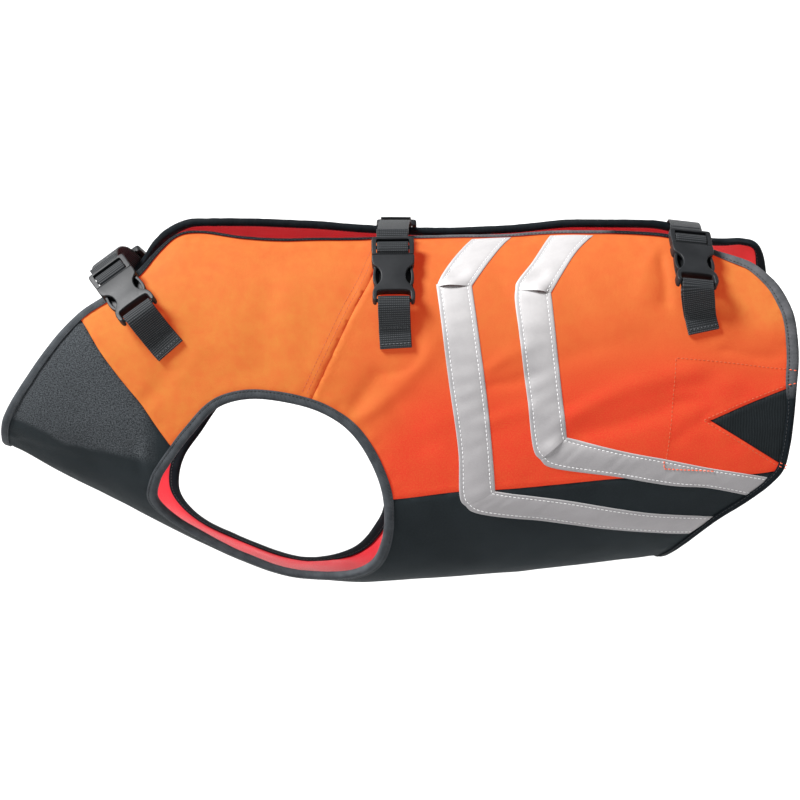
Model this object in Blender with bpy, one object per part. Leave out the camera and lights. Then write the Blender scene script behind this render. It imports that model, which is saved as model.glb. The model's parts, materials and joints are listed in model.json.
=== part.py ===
"""Dog hunting vest, filled out as worn: a hollow body of cloth, open along the back and bridged there by three buckled straps.

Frame: +X towards the tail, -Y the dog's left side, +Z up. The origin is on the centre plane, in the open back under the
middle strap, where the dog's back carries the vest. Metres in the scene, millimetres in the tables and functions.

A place on the cloth is (x, t): x along the body, t the way round it, from 0 on the middle of the belly to 1 over the
spine, negative on the left side. surface(x, t, h) is that place, h outside the cloth's face.
"""

import math

import bmesh
import bpy
import numpy as np
from mathutils import Matrix, Vector
from mathutils.geometry import delaunay_2d_cdt

# ---------------------------------------------------------------- sizes, mm
MM = 0.001
GIRTH = 400.0  # flat width from the belly line to the spine, used to lay a place (x, t) out flat
GAP = 0.3  # clear of a neighbour at seams and between layers
PANEL = (0.0, -2.0)  # outer and inner face of the padded outer cloth
LINING = (-2.3, -3.3)
TAPE = (0.75, 0.3)  # reflective tape on the panels
BIND_OUT = (1.3, 0.5)  # outer leg of the edge binding
BIND_IN = (-3.8, -4.6)  # inner leg
EDGE_FOLD = 0.9  # binding thickness round the edge
EDGE_CLOTH = 1.4  # the cloth stops this far inside the finished edge
BIND_WIDTH = 7.0
ARM_BIND_WIDTH = 8.0
EDGE_STEP = 23.0  # longest step along a bound edge that runs round the body
BACK_STEP = 36.0  # and along the back between these, where it is nearly straight
BACK_FROM, BACK_TO = -150.0, 245.0
LINE_STEP = 42.0  # along seams and tapes
NET_X, NET_G = 38.0, 31.0  # spacing of the net inside the panels

WEBBING_WIDTH, WEBBING = 25.0, 1.4
BUCKLE_LENGTH, BUCKLE_WIDTH = 59.0, 33.0
FEMALE_TOP, FEMALE_BOTTOM = 12.6, -29.5  # along the buckle from its middle
PLATE = 8.4  # thickness of the female housing
CAVITY_WIDTH, CAVITY_HEIGHT, CAVITY_END = 24.4, 4.6, -15.0
LATCH_FIT = 0.35  # the male part's arms clear the housing by this

# ---------------------------------------------------------------- the body's sections
# x, z_belly, z_widest, z_spine, half_width, roundness below, roundness above (2 is an ellipse, more is boxier)
SECTIONS = (
    (-326, -173, -138, -84.0, 52, 2.10, 2.10),
    (-305, -182.5, -128, -60.0, 64, 2.10, 2.10),
    (-275, -199.5, -118, -38.0, 76, 2.15, 2.15),
    (-235, -219, -114, -20.0, 86, 2.20, 2.20),
    (-200, -237, -116, -6.0, 91, 2.35, 2.30),
    (-165, -254, -120, 6.5, 94, 2.60, 2.40),
    (-125, -272, -124, 6.5, 97, 2.90, 2.50),
    (-75, -286, -128, 5.0, 99, 3.10, 2.50),
    (-25, -289, -129, 1.5, 100, 3.10, 2.50),
    (30, -286, -128, -0.5, 100, 2.90, 2.50),
    (90, -282, -127, 1.5, 99, 2.70, 2.50),
    (150, -276, -126, 6.0, 97, 2.50, 2.45),
    (210, -269, -126, 6.0, 94, 2.40, 2.40),
    (265, -262, -127, -5.0, 90, 2.30, 2.30),
    (330, -252, -130, -24.0, 84, 2.30, 2.30),
)

# the right rear corner at the back stands up off the figure: by how much, over which x and t
FLARE, FLARE_X, FLARE_T = 21.0, (248.0, 293.0), (0.74, 0.91)

# ---------------------------------------------------------------- finished edges, as (x, t) from belly to spine
NECK = (
    (-321, 0.00), (-320, 0.12), (-319, 0.22), (-317.5, 0.31), (-314, 0.39), (-307, 0.45),
    (-298, 0.50), (-282, 0.575), (-266, 0.64),
)
NECK_TOP_LEFT = ((-248, 0.693), (-228, 0.73), (-205, 0.785), (-188, 0.845), (-175, 0.876))
NECK_TOP_RIGHT = ((-247, 0.70), (-229, 0.76), (-212, 0.83), (-200, 0.90), (-188, 0.945))
BACK_LEFT = (
    (-157, 0.884), (-123, 0.862), (-91, 0.859), (-60, 0.866), (-28, 0.875), (18, 0.892), (52, 0.895),
    (84, 0.890), (116, 0.893), (148, 0.890), (180, 0.891), (212, 0.886), (240, 0.872),
)
BACK_RIGHT = (
    (-165, 0.966), (-123, 0.966), (-91, 0.962), (-60, 0.960), (-28, 0.958), (18, 0.951), (52, 0.946),
    (84, 0.948), (116, 0.950), (148, 0.960), (180, 0.962), (212, 0.954), (240, 0.940),
)
REAR_TOP_LEFT = ((256, 0.862), (272, 0.855), (285, 0.845), (296, 0.821), (304, 0.796), (311, 0.758), (315.5, 0.72))
REAR_TOP_RIGHT = (
    (252, 0.928), (265, 0.882), (278, 0.863), (291, 0.860), (299, 0.861), (304.5, 0.855), (309, 0.838), (312.5, 0.808),
    (316, 0.745),
)
REAR = (
    (318, 0.652), (318.5, 0.594), (317, 0.522), (315, 0.422), (312.5, 0.345), (308, 0.285),
    (298, 0.250), (281, 0.213), (255, 0.166), (234, 0.110), (222, 0.052), (219, 0.00),
)
ARMHOLE_TOP = ((-137, 0.447), (-113, 0.474), (-84, 0.473), (-58, 0.452), (-37, 0.412), (-20, 0.346), (-9.5, 0.274))
ARMHOLE_LEFT = ARMHOLE_TOP + (
    (-9.5, 0.208), (-19, 0.155), (-39, 0.122), (-67, 0.107), (-95, 0.108), (-122, 0.116), (-150, 0.127),
    (-176.5, 0.144), (-189.6, 0.178), (-186.8, 0.236), (-177, 0.291), (-159, 0.370),
)
ARMHOLE_RIGHT = ARMHOLE_TOP + (
    (-10.5, 0.208), (-18, 0.178), (-32, 0.140), (-49, 0.114), (-71, 0.094), (-94, 0.093), (-112, 0.096), (-136, 0.103),
    (-159, 0.105), (-173, 0.124), (-182.5, 0.157), (-184.5, 0.202), (-180, 0.258), (-166, 0.325), (-152, 0.392),
)

# ---------------------------------------------------------------- seams, as (x, t); the ends run past the finished edges
CHEST_SEAM = ((-262, 0.720), (-251, 0.679), (-232, 0.564), (-216, 0.489), (-200, 0.426), (-185, 0.361), (-168, 0.300))
SHOULDER_SEAM = ((-71, 0.435), (-65, 0.486), (-58, 0.534), (-47, 0.607), (-33, 0.692), (-18, 0.771), (-5, 0.882), (3, 0.985))
BELLY_SEAM = ((-22, 0.270), (-1, 0.270), (51, 0.279), (81, 0.279), (130, 0.281), (178, 0.286), (233, 0.281), (283, 0.279), (316, 0.289))
GUSSET_TIP = (248.5, 0.417)
GUSSET_TOP_SEAM = ((248.5, 0.417), (308, 0.511), (326, 0.540))
GUSSET_LOW_SEAM = ((248.5, 0.417), (303, 0.307), (322, 0.269))

# reflective tapes: the outer and inner line of each, from the back edge down to the rear edge
TAPE_FRONT_OUTER = ((80, 0.950), (63, 0.881), (37, 0.772), (32.7, 0.745), (35, 0.697), (43, 0.509), (50, 0.355), (52, 0.262), (60, 0.243), (116, 0.213), (180, 0.175), (234, 0.146), (262, 0.128))
TAPE_FRONT_INNER = ((111.5, 0.953), (95, 0.886), (60.6, 0.746), (65, 0.654), (72, 0.490), (76.6, 0.353), (79, 0.277), (136, 0.248), (201, 0.209), (255.5, 0.182), (280, 0.166))
TAPE_REAR_OUTER = ((143, 0.958), (127, 0.890), (109, 0.802), (95.2, 0.750), (94, 0.723), (97, 0.646), (103.5, 0.488), (110, 0.349), (119, 0.322), (178, 0.289), (221, 0.263), (248, 0.253), (281, 0.228), (306, 0.205))
TAPE_REAR_INNER = ((179, 0.961), (161, 0.883), (144, 0.824), (122.6, 0.729), (126, 0.634), (131, 0.486), (135, 0.383), (178, 0.348), (212, 0.325), (247, 0.300), (276, 0.283), (296, 0.270), (316, 0.255))

# ---------------------------------------------------------------- fastenings
# place of the buckle's middle, its lean towards +X and its pitch (top end towards the body) in degrees, its underside
# above the cloth, how much further up and aft the right-hand one sits, how far down the cloth the sewn webbing ends and its
# own lean, and how far the webbing between the two buckles follows their slope before it turns over, 0 to 1
FASTENINGS = (
    # name, x, t, lean, pitch, rise, right_up, right_aft, webbing_end, webbing_lean, pull
    ("front", -211.7, 0.721, -35.1, 8.9, 4.0, 0.020, 0.0, 58.0, -44.0, 0.46),
    ("middle", -1.3, 0.773, -0.6, 0.0, 2.9, 0.050, 2.7, 60.5, -3.5, 0.36),
    ("rear", 233.8, 0.805, -4.5, 10.5, 4.4, 0.014, 5.0, 56.5, -13.0, 0.58),
)

COLOURS = {  # linear red, green, blue; roughness
    "orange": ((0.86, 0.13, 0.02), 0.75),
    "grey": ((0.055, 0.06, 0.066), 0.85),
    "black": ((0.02, 0.023, 0.026), 0.7),
    "red": ((0.50, 0.012, 0.02), 0.6),
    "silver": ((0.46, 0.45, 0.45), 0.4),
    "webbing": ((0.03, 0.033, 0.037), 0.65),
    "plastic": ((0.07, 0.07, 0.075), 0.4),
}


# ---------------------------------------------------------------- the cloth's form
def smooth_table(xs, ys, x):
    """A monotone cubic through the rows of a table, so that a section never overshoots its neighbours."""
    x = np.asarray(x, float)
    step = np.diff(xs)
    slope = np.diff(ys) / step
    at = np.zeros_like(ys)
    at[0], at[-1] = slope[0], slope[-1]
    for i in range(1, len(xs) - 1):
        if slope[i - 1] * slope[i] > 0:
            a, b = 2 * step[i] + step[i - 1], step[i] + 2 * step[i - 1]
            at[i] = (a + b) / (a / slope[i - 1] + b / slope[i])
    k = np.clip(np.searchsorted(xs, x, side="right") - 1, 0, len(xs) - 2)
    u = (x - xs[k]) / step[k]
    return (
        (1 + 2 * u) * (1 - u) ** 2 * ys[k]
        + u * (1 - u) ** 2 * step[k] * at[k]
        + u * u * (3 - 2 * u) * ys[k + 1]
        + u * u * (u - 1) * step[k] * at[k + 1]
    )


SECTION_TABLE = np.array(SECTIONS, float)


def ease(a, low, high):
    """0 below low, 1 above high and a smooth rise between."""
    u = np.clip((a - low) / (high - low), 0, 1)
    return u * u * (3 - 2 * u)


def base(x, t):
    """The place on the cloth's face, with each section a rounded box that is deepest at the belly."""
    x, t = np.asarray(x, float), np.asarray(t, float)
    belly, widest, spine, half, low, high = (
        smooth_table(SECTION_TABLE[:, 0], SECTION_TABLE[:, i], x) for i in range(1, 7)
    )
    c, s = np.cos(np.pi * t), np.sin(np.pi * t)
    reach = np.where(c > 0, widest - belly, spine - widest)
    power = np.where(c > 0, low, high)
    r = (np.abs(c / reach) ** power + np.abs(s / half) ** power) ** (-1 / power)
    lift = FLARE * ease(x, *FLARE_X) * ease(t, *FLARE_T)
    return np.stack([x + 0 * r, r * s + 0.25 * lift, widest - r * c + lift], -1)


def unit(v):
    return v / np.linalg.norm(v, axis=-1, keepdims=True)


def slopes(x, t):
    """The way along x, the way round, both per unit, and the outward normal."""
    x, t = np.asarray(x, float), np.asarray(t, float)
    along = base(x + 0.5, t) - base(x - 0.5, t)
    around = (base(x, t + 0.001) - base(x, t - 0.001)) / 0.002
    return along, around, unit(np.cross(around, along))


def surface(x, t, h=0.0):
    return base(x, t) + np.asarray(h, float)[..., None] * slopes(x, t)[2]


def moved(places, way):
    """Places (x, t) moved by these ways in mm, which lie along the cloth."""
    along, around, _ = slopes(places[:, 0], places[:, 1])
    aa, ab, bb = (along * along).sum(1), (along * around).sum(1), (around * around).sum(1)
    wa, wb = (way * along).sum(1), (way * around).sum(1)
    det = aa * bb - ab * ab
    return places + np.stack([(wa * bb - wb * ab) / det, (wb * aa - wa * ab) / det], 1)


# ---------------------------------------------------------------- lines on the cloth
def flat(places):
    places = np.asarray(places, float)
    return np.stack([places[:, 0], places[:, 1] * GIRTH], 1)


def mirrored(places):
    return [(x, -t) for x, t in places]


def rounded_loop(knots, cuts=10):
    """A closed smooth line through the knots (a centripetal Catmull-Rom curve), as dense places."""
    p = flat(knots)
    n = len(p)
    out = []
    for i in range(n):
        a, b, c, d = (p[(i + k) % n] for k in (-1, 0, 1, 2))
        t0 = 0.0
        t1 = t0 + np.linalg.norm(b - a) ** 0.5
        t2 = t1 + np.linalg.norm(c - b) ** 0.5
        t3 = t2 + np.linalg.norm(d - c) ** 0.5
        for u in np.arange(cuts) / cuts:
            s = t1 + (t2 - t1) * u
            ab = a + (b - a) * (s - t0) / (t1 - t0)
            bc = b + (c - b) * (s - t1) / (t2 - t1)
            cd = c + (d - c) * (s - t2) / (t3 - t2)
            abc = ab + (bc - ab) * (s - t0) / (t2 - t0)
            bcd = bc + (cd - bc) * (s - t1) / (t3 - t1)
            out.append(abc + (bcd - abc) * (s - t1) / (t2 - t1))
    out = np.array(out)
    return np.stack([out[:, 0], out[:, 1] / GIRTH], 1)


def inward(loop, closed=True, side=1.0):
    """The unit way into the cloth at each place of a loop that runs round it."""
    along = surface(loop[:, 0], loop[:, 1])
    if closed:
        back, ahead = along - np.roll(along, 1, 0), np.roll(along, -1, 0) - along
    else:
        ahead = np.vstack([along[1:] - along[:-1], along[-1:] - along[-2:-1]])
        back = np.vstack([ahead[:1], ahead[:-1]])
    run = unit(unit(back) + unit(ahead))
    return side * unit(np.cross(slopes(loop[:, 0], loop[:, 1])[2], run))


def inset(loop, by, side):
    return moved(loop, by * inward(loop, side=side))


def inside(points, polygon):
    """Which flat points lie inside a flat polygon."""
    points, polygon = np.atleast_2d(points), np.asarray(polygon)
    hit = np.zeros(len(points), bool)
    for a, b in zip(polygon, np.roll(polygon, -1, 0)):
        spans = (a[1] > points[:, 1]) != (b[1] > points[:, 1])
        with np.errstate(divide="ignore", invalid="ignore"):
            at = a[0] + (points[:, 1] - a[1]) * (b[0] - a[0]) / (b[1] - a[1])
        hit ^= spans & (points[:, 0] < at)
    return hit


def crossing(line, loop):
    """Where a flat line, followed from its first point, first meets a closed flat loop: (place in the line, place in the loop)."""
    after = np.roll(loop, -1, 0)
    for i in range(len(line) - 1):
        a, d = line[i], line[i + 1] - line[i]
        e = after - loop
        det = d[0] * e[:, 1] - d[1] * e[:, 0]
        with np.errstate(divide="ignore", invalid="ignore"):
            u = ((loop[:, 0] - a[0]) * e[:, 1] - (loop[:, 1] - a[1]) * e[:, 0]) / det
            v = ((loop[:, 0] - a[0]) * d[1] - (loop[:, 1] - a[1]) * d[0]) / det
        ok = (u >= 0) & (u < 1) & (v >= 0) & (v < 1)
        if ok.any():
            k = int(np.argmin(np.where(ok, u, 9)))
            return i + u[k], k + v[k]
    raise ValueError("a seam misses the edge it should meet")


def at(loop, u):
    """The place at a fractional index of a closed dense loop."""
    i = np.floor(u).astype(int)
    f = (u - i)[:, None]
    return loop[i % len(loop)] * (1 - f) + loop[(i + 1) % len(loop)] * f


class Edge:
    """A bound edge: its finished line and the lines inside it, cut at the same stations."""

    def __init__(self, knots, width, side, back_step=EDGE_STEP):
        self.finished = rounded_loop(knots)
        self.side, self.width, self.back_step = side, width, back_step
        self.fold = inset(self.finished, EDGE_CLOTH - EDGE_FOLD + GAP * 0.5, side)
        self.cloth = inset(self.finished, EDGE_CLOTH, side)
        self.leg = inset(self.finished, width - GAP, side)
        self.strip = inset(self.finished, width, side)
        self.marks = []

    def stations(self):
        """The marks, where seams and tapes end, and enough stations between them."""
        line = surface(self.finished[:, 0], self.finished[:, 1])
        run = np.linalg.norm(np.roll(line, -1, 0) - line, axis=1)
        x, t = self.finished.T
        straight = (np.abs(t) > 0.84) & (x > BACK_FROM) & (x < BACK_TO)
        far = np.concatenate([[0], np.cumsum(run / np.where(straight, self.back_step, EDGE_STEP))])
        total = far[-1]
        steps = np.interp(sorted(self.marks), np.arange(len(far)), far)
        stops = []
        for a, b in zip(steps, np.append(steps[1:], steps[0] + total)):
            n = max(1, math.ceil(b - a))
            stops += [a + (b - a) * k / n for k in range(n)]
        index = np.interp(np.array(stops) % total, far, np.arange(len(far)))
        # a mark keeps its exact place, so that the seam that ends there meets it
        for mark in self.marks:
            index[np.argmin(np.abs(index - mark))] = mark
        self.index = np.sort(index)
        return self.index


def cut_line(knots, first=None, last=None, step=LINE_STEP):
    """A seam or tape line between the edges it meets: (places between, mark on the first edge, mark on the last)."""
    line = flat(knots)
    marks = []
    start, end = 0.0, len(line) - 1.0
    for edge, reverse in ((first, False), (last, True)):
        if edge is None:
            marks.append(None)
            continue
        run = line[::-1] if reverse else line
        place, mark = crossing(run, flat(edge.strip))
        edge.marks.append(mark)
        marks.append(mark)
        if reverse:
            end = len(line) - 1 - place
        else:
            start = place
    inner = [k for k in range(len(line)) if start + 1e-6 < k < end - 1e-6]
    stops = [start] + inner + [end]
    out = []
    for a, b in zip(stops[:-1], stops[1:]):
        pa, pb = (line[min(int(s), len(line) - 2)] + (line[min(int(s), len(line) - 2) + 1] - line[min(int(s), len(line) - 2)]) * (s - min(int(s), len(line) - 2)) for s in (a, b))
        n = max(1, math.ceil(np.linalg.norm(pb - pa) / step))
        out += [pa + (pb - pa) * k / n for k in range(n)]
    out.append(pb)
    return np.array(out), marks[0], marks[1]


# ---------------------------------------------------------------- making solids
def clear_scene():
    for thing in list(bpy.data.objects):
        bpy.data.objects.remove(thing, do_unlink=True)


clear_scene()
VEST = bpy.data.collections.new("dog_hunting_vest")
bpy.context.scene.collection.children.link(VEST)
CUTTERS = bpy.data.collections.new("cutters")
bpy.context.scene.collection.children.link(CUTTERS)


def finish(name, mesh, look, collection=None):
    colour, roughness = COLOURS[look]
    material = bpy.data.materials.new(name + "_" + look)
    material.use_nodes = True
    shader = material.node_tree.nodes["Principled BSDF"]
    shader.inputs["Base Color"].default_value = (*colour, 1)
    shader.inputs["Roughness"].default_value = roughness
    shader.inputs["Metallic"].default_value = 0.0
    mesh.materials.append(material)
    mesh.shade_smooth()
    mesh.set_sharp_from_angle(angle=math.radians(35))
    thing = bpy.data.objects.new(name, mesh)
    (collection or VEST).objects.link(thing)
    return thing


def sheet_solid(name, outer, inner, faces, look):
    """An open sheet through the outer points, extruded to the inner ones: a closed wall."""
    bm = bmesh.new()
    number = bm.verts.layers.int.new("number")
    verts = []
    for i, p in enumerate(outer):
        v = bm.verts.new(Vector(p) * MM)
        v[number] = i
        verts.append(v)
    for f in faces:
        bm.faces.new([verts[i] for i in f])
    made = bmesh.ops.extrude_face_region(bm, geom=bm.faces[:])
    for v in made["geom"]:
        if isinstance(v, bmesh.types.BMVert):
            v.co = Vector(inner[v[number]]) * MM
    bmesh.ops.recalc_face_normals(bm, faces=bm.faces[:])
    # a twisted strap has no flat four-sided faces
    bmesh.ops.triangulate(bm, faces=bm.faces[:])
    mesh = bpy.data.meshes.new(name)
    bm.to_mesh(mesh)
    bm.free()
    return finish(name, mesh, look)


def cloth_piece(name, net, chosen, layer, look, pull=GAP / 2):
    """The chosen triangles of the net as one wall between the layer's two faces, its outline drawn in by half a gap."""
    faces = net.faces[chosen]
    used = np.unique(faces)
    number = -np.ones(len(net.places), int)
    number[used] = np.arange(len(used))
    faces = number[faces]
    places = net.places[used].copy()
    ends = {}
    for f in faces:
        for a, b in ((f[0], f[1]), (f[1], f[2]), (f[2], f[0])):
            ends[(a, b)] = True
    rim_next = {a: b for a, b in ends if (b, a) not in ends}
    rim_before = {b: a for a, b in rim_next.items()}
    if pull:
        rim = np.array(sorted(rim_next))
        solid = surface(places[:, 0], places[:, 1])
        normal = slopes(places[:, 0], places[:, 1])[2]
        ways = []
        for v in rim:
            # the triangles run clockwise seen from outside, so the cloth is on the right of its rim
            into = [unit(np.cross(q, normal[v])) for q in (solid[v] - solid[rim_before[v]], solid[rim_next[v]] - solid[v])]
            both = into[0] + into[1]
            ways.append(2 * pull * both / max(both @ both, 0.35))
        places[rim] = moved(places[rim], np.array(ways))
    high, low = layer
    flipped = faces[:, ::-1]
    return sheet_solid(
        name, surface(places[:, 0], places[:, 1], high), surface(places[:, 0], places[:, 1], low), flipped, look
    )


class Net:
    """All the cloth as triangles between places (x, t), with every seam, tape line and edge along triangle sides."""

    def __init__(self, loops, lines):
        points, edges = [], []

        def add(p):
            for i, q in enumerate(points):
                if abs(q[0] - p[0]) < 0.02 and abs(q[1] - p[1]) < 0.02:
                    return i
            points.append((float(p[0]), float(p[1])))
            return len(points) - 1

        for loop in loops:
            index = [add(p) for p in loop]
            edges += [(a, b) for a, b in zip(index, index[1:] + index[:1]) if a != b]
        for line in lines:
            index = [add(p) for p in line]
            edges += [(a, b) for a, b in zip(index[:-1], index[1:]) if a != b]
        fixed = [(np.array(points[a]), np.array(points[b])) for a, b in edges]
        outer = np.array(loops[1])
        for i, x in enumerate(np.arange(-318, 320, NET_X)):
            for g in np.arange(-13, 14) * NET_G + (NET_G / 2 if i % 2 else 0):
                p = np.array([x, g])
                if not inside(p, outer)[0] or any(inside(p, np.array(hole))[0] for hole in loops[2::2]):
                    continue
                if all(self.clear(p, a, b) > 0.42 * NET_G for a, b in fixed):
                    points.append((float(x), float(g)))
        made = delaunay_2d_cdt([Vector(p) for p in points], edges, [], 0, 1e-4)
        found = np.array([tuple(v) for v in made[0]])
        faces = np.array([f for f in made[2]])
        area = np.cross(found[faces[:, 1]] - found[faces[:, 0]], found[faces[:, 2]] - found[faces[:, 0]])
        faces[area < 0] = faces[area < 0][:, ::-1]
        faces = faces[np.abs(area) > 1e-4]
        middle = found[faces].mean(1)
        keep = inside(middle, np.array(loops[0]))
        for hole in loops[2::2]:
            keep &= ~inside(middle, np.array(hole))
        self.faces = faces[keep]
        self.middle = middle[keep]
        self.places = np.stack([found[:, 0], found[:, 1] / GIRTH], 1)

    @staticmethod
    def clear(p, a, b):
        d = b - a
        u = min(1.0, max(0.0, float((p - a) @ d) / max(float(d @ d), 1e-9)))
        return float(np.linalg.norm(p - a - u * d))


def build_net():
    left = list(NECK) + list(NECK_TOP_LEFT) + list(BACK_LEFT) + list(REAR_TOP_LEFT) + list(REAR)
    right = list(NECK) + list(NECK_TOP_RIGHT) + list(BACK_RIGHT) + list(REAR_TOP_RIGHT) + list(REAR)
    # round the vest: left side from neck to rear, then the right side back to the neck
    outline = mirrored(left) + right[-2:0:-1]
    outer = Edge(outline, BIND_WIDTH, -1.0, BACK_STEP)
    arms = [Edge(mirrored(ARMHOLE_LEFT), ARM_BIND_WIDTH, 1.0), Edge(ARMHOLE_RIGHT, ARM_BIND_WIDTH, -1.0)]
    lines, ends = [], []
    tapes = {}
    for sign, arm in ((-1, arms[0]), (1, arms[1])):
        place = mirrored if sign < 0 else list
        for knots, first, last in (
            (CHEST_SEAM, outer, arm),
            (SHOULDER_SEAM, arm, outer),
            (BELLY_SEAM, arm, outer),
            (GUSSET_TOP_SEAM, None, outer),
            (GUSSET_LOW_SEAM, None, outer),
        ):
            line, a, b = cut_line(place(knots), first, last)
            lines.append(line)
            ends += [(first, a), (last, b)]
        for name, sides in (
            ("tape_front", (TAPE_FRONT_OUTER, TAPE_FRONT_INNER)),
            ("tape_rear", (TAPE_REAR_OUTER, TAPE_REAR_INNER)),
        ):
            for knots in sides:
                line, a, b = cut_line(place(knots), outer, outer)
                lines.append(line)
            whole = place(sides[0]) + place(sides[1])[::-1]
            tapes[name + ("_left" if sign < 0 else "_right")] = flat(whole)
    loops = []
    for edge in [outer] + arms:
        index = edge.stations()
        loops += [flat(at(edge.cloth, index)), flat(at(edge.strip, index))]
    for edge, mark in ends:
        if edge is not None:
            lines.append(flat(np.vstack([at(edge.strip, np.array([mark])), at(edge.cloth, np.array([mark]))])))
    return Net(loops, lines), outer, arms, tapes


def part_of(net, outer, tapes):
    """Which piece each triangle of the net belongs to, by simple rules on the middle of the triangle."""
    x, t = net.middle[:, 0], net.middle[:, 1] / GIRTH
    side = np.abs(t)
    lower = np.array(list(CHEST_SEAM[1:-1]) + [(-150, 0.30), (-30, 0.27)] + list(BELLY_SEAM[1:]))
    under = side < np.where(x < CHEST_SEAM[1][0], 1.0, np.interp(x, lower[:, 0], lower[:, 1]))
    seam = np.array(SHOULDER_SEAM)
    ahead = x < np.interp(side, seam[:, 1], seam[:, 0])
    wedge = np.array([GUSSET_TOP_SEAM[2], GUSSET_TIP, GUSSET_LOW_SEAM[2]])
    gusset = inside(np.stack([x, side * GIRTH], 1), flat(wedge))
    parts = {"underbody_panel": under & ~gusset}
    for name, one in (("left", t < 0), ("right", t > 0)):
        parts["shoulder_panel_" + name] = one & ~under & ahead & ~gusset
        parts["flank_panel_" + name] = one & ~under & ~ahead & ~gusset
        parts["gusset_" + name] = one & gusset
    within = inside(net.middle, flat(at(outer.strip, outer.index)))
    strips = {name: inside(net.middle, polygon) & within for name, polygon in tapes.items()}
    return parts, strips


def binding(name, edge, look):
    """A tape folded over the edge: an outer leg, the turn, and an inner leg, lofted round the whole loop."""
    k = edge.index
    rows = (
        (edge.leg, BIND_OUT[0]), (edge.finished, BIND_OUT[0]), (edge.finished, BIND_IN[1]), (edge.leg, BIND_IN[1]),
        (edge.leg, BIND_IN[0]), (edge.fold, BIND_IN[0]), (edge.fold, BIND_OUT[1]), (edge.leg, BIND_OUT[1]),
    )
    rings = []
    for line, h in rows:
        p = at(line, k)
        rings.append(surface(p[:, 0], p[:, 1], h))
    bm = bmesh.new()
    grid = [[bm.verts.new(Vector(p) * MM) for p in ring] for ring in rings]
    for i in range(len(grid)):
        a, b = grid[i], grid[(i + 1) % len(grid)]
        for j in range(len(a)):
            n = (j + 1) % len(a)
            bm.faces.new([a[j], a[n], b[n], b[j]])
    bmesh.ops.recalc_face_normals(bm, faces=bm.faces[:])
    mesh = bpy.data.meshes.new(name)
    bm.to_mesh(mesh)
    bm.free()
    return finish(name, mesh, look)


# ---------------------------------------------------------------- straps and buckles
def ribbon(name, middle, across, normal, width, thickness, look):
    """Webbing along the middle line: a flat strip with this thickness."""
    middle, across, normal = (np.asarray(v, float) for v in (middle, across, normal))
    top = middle + normal * thickness / 2
    low = middle - normal * thickness / 2
    outer = np.concatenate([top - across * width / 2, top + across * width / 2])
    inner = np.concatenate([low - across * width / 2, low + across * width / 2])
    n = len(middle)
    return sheet_solid(name, outer, inner, [(i, i + 1, n + i + 1, n + i) for i in range(n - 1)], look)


def frame_on(x, t, lean, pitch, h):
    """A frame standing on the cloth: its middle, the way up it, the way across and the way out."""
    along, around, normal = slopes(x, t)
    around = around * (1 if t > 0 else -1)
    sideways = unit(along - (along @ normal) * normal)
    up = unit(around - (around @ normal) * normal - (around @ sideways) * sideways)
    a, b = math.radians(lean), math.radians(pitch)
    way = math.cos(a) * up + math.sin(a) * sideways
    cross = unit(math.cos(a) * sideways - math.sin(a) * up)
    out = math.cos(b) * normal + math.sin(b) * way
    way = math.cos(b) * way - math.sin(b) * normal
    return base(x, t) + h * normal, way, cross, out


def walk_down(x, t, lean, webbing_lean, reach, step=2.0):
    """Places below a buckle's middle, down the cloth along its lean and past its bar along the webbing's, one a step."""
    places = [(x, t)]
    for i in range(int(reach / step) + 2):
        along, around, normal = slopes(x, t)
        around = around * (1 if t > 0 else -1)
        a = math.radians(lean if i * step < -BAR_U else webbing_lean)
        x -= step * math.sin(a) / np.linalg.norm(along)
        t -= (1 if t > 0 else -1) * step * math.cos(a) / np.linalg.norm(around)
        places.append((x, t))
    return np.array(places), step


def housing_outline():
    """Half the female housing's outline from above: full at the mouth, drawn in at the waist, full at the webbing bar."""
    return (
        (FEMALE_TOP, 15.2), (9.5, 15.4), (6.0, 15.0), (2.5, 13.4), (-1.0, 11.4), (-4.5, 10.2), (-8.0, 10.1),
        (-11.5, 11.3), (-14.5, 13.6), (-17.5, 15.9), (-20.0, 16.5), (-26.5, 16.5), (-29.0, 15.2), (FEMALE_BOTTOM, 13.6),
    )


def solid_outline(name, half, low, high):
    """A prism with this half outline, mirrored about the buckle's middle line, made as a filled 2D curve."""
    points = [(u, v) for u, v in half] + [(u, -v) for u, v in reversed(half)]
    curve = bpy.data.curves.new(name, "CURVE")
    curve.dimensions = "2D"
    curve.fill_mode = "BOTH"
    curve.extrude = (high - low) / 2 * MM
    line = curve.splines.new("POLY")
    line.points.add(len(points) - 1)
    for p, (u, v) in zip(line.points, points):
        p.co = (u * MM, v * MM, 0, 1)
    line.use_cyclic_u = True
    holder = bpy.data.objects.new(name, curve)
    bpy.context.scene.collection.objects.link(holder)
    bpy.context.view_layer.update()
    mesh = bpy.data.meshes.new_from_object(holder.evaluated_get(bpy.context.evaluated_depsgraph_get()))
    bpy.data.objects.remove(holder, do_unlink=True)
    bm = bmesh.new()
    bm.from_mesh(mesh)
    bmesh.ops.remove_doubles(bm, verts=bm.verts[:], dist=1e-6)
    bmesh.ops.translate(bm, verts=bm.verts[:], vec=(0, 0, (high + low) / 2 * MM))
    bmesh.ops.recalc_face_normals(bm, faces=bm.faces[:])
    bm.to_mesh(mesh)
    bm.free()
    return mesh


def block(u, v, n):
    """A box mesh between these limits along the buckle, across it and out of it."""
    mesh = bpy.data.meshes.new("block")
    bm = bmesh.new()
    bmesh.ops.create_cube(bm, size=1.0)
    for vert in bm.verts:
        vert.co = Vector([(lim[0] + lim[1]) / 2 + c * (lim[1] - lim[0]) for lim, c in zip((u, v, n), vert.co)]) * MM
    bm.to_mesh(mesh)
    bm.free()
    return mesh


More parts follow.
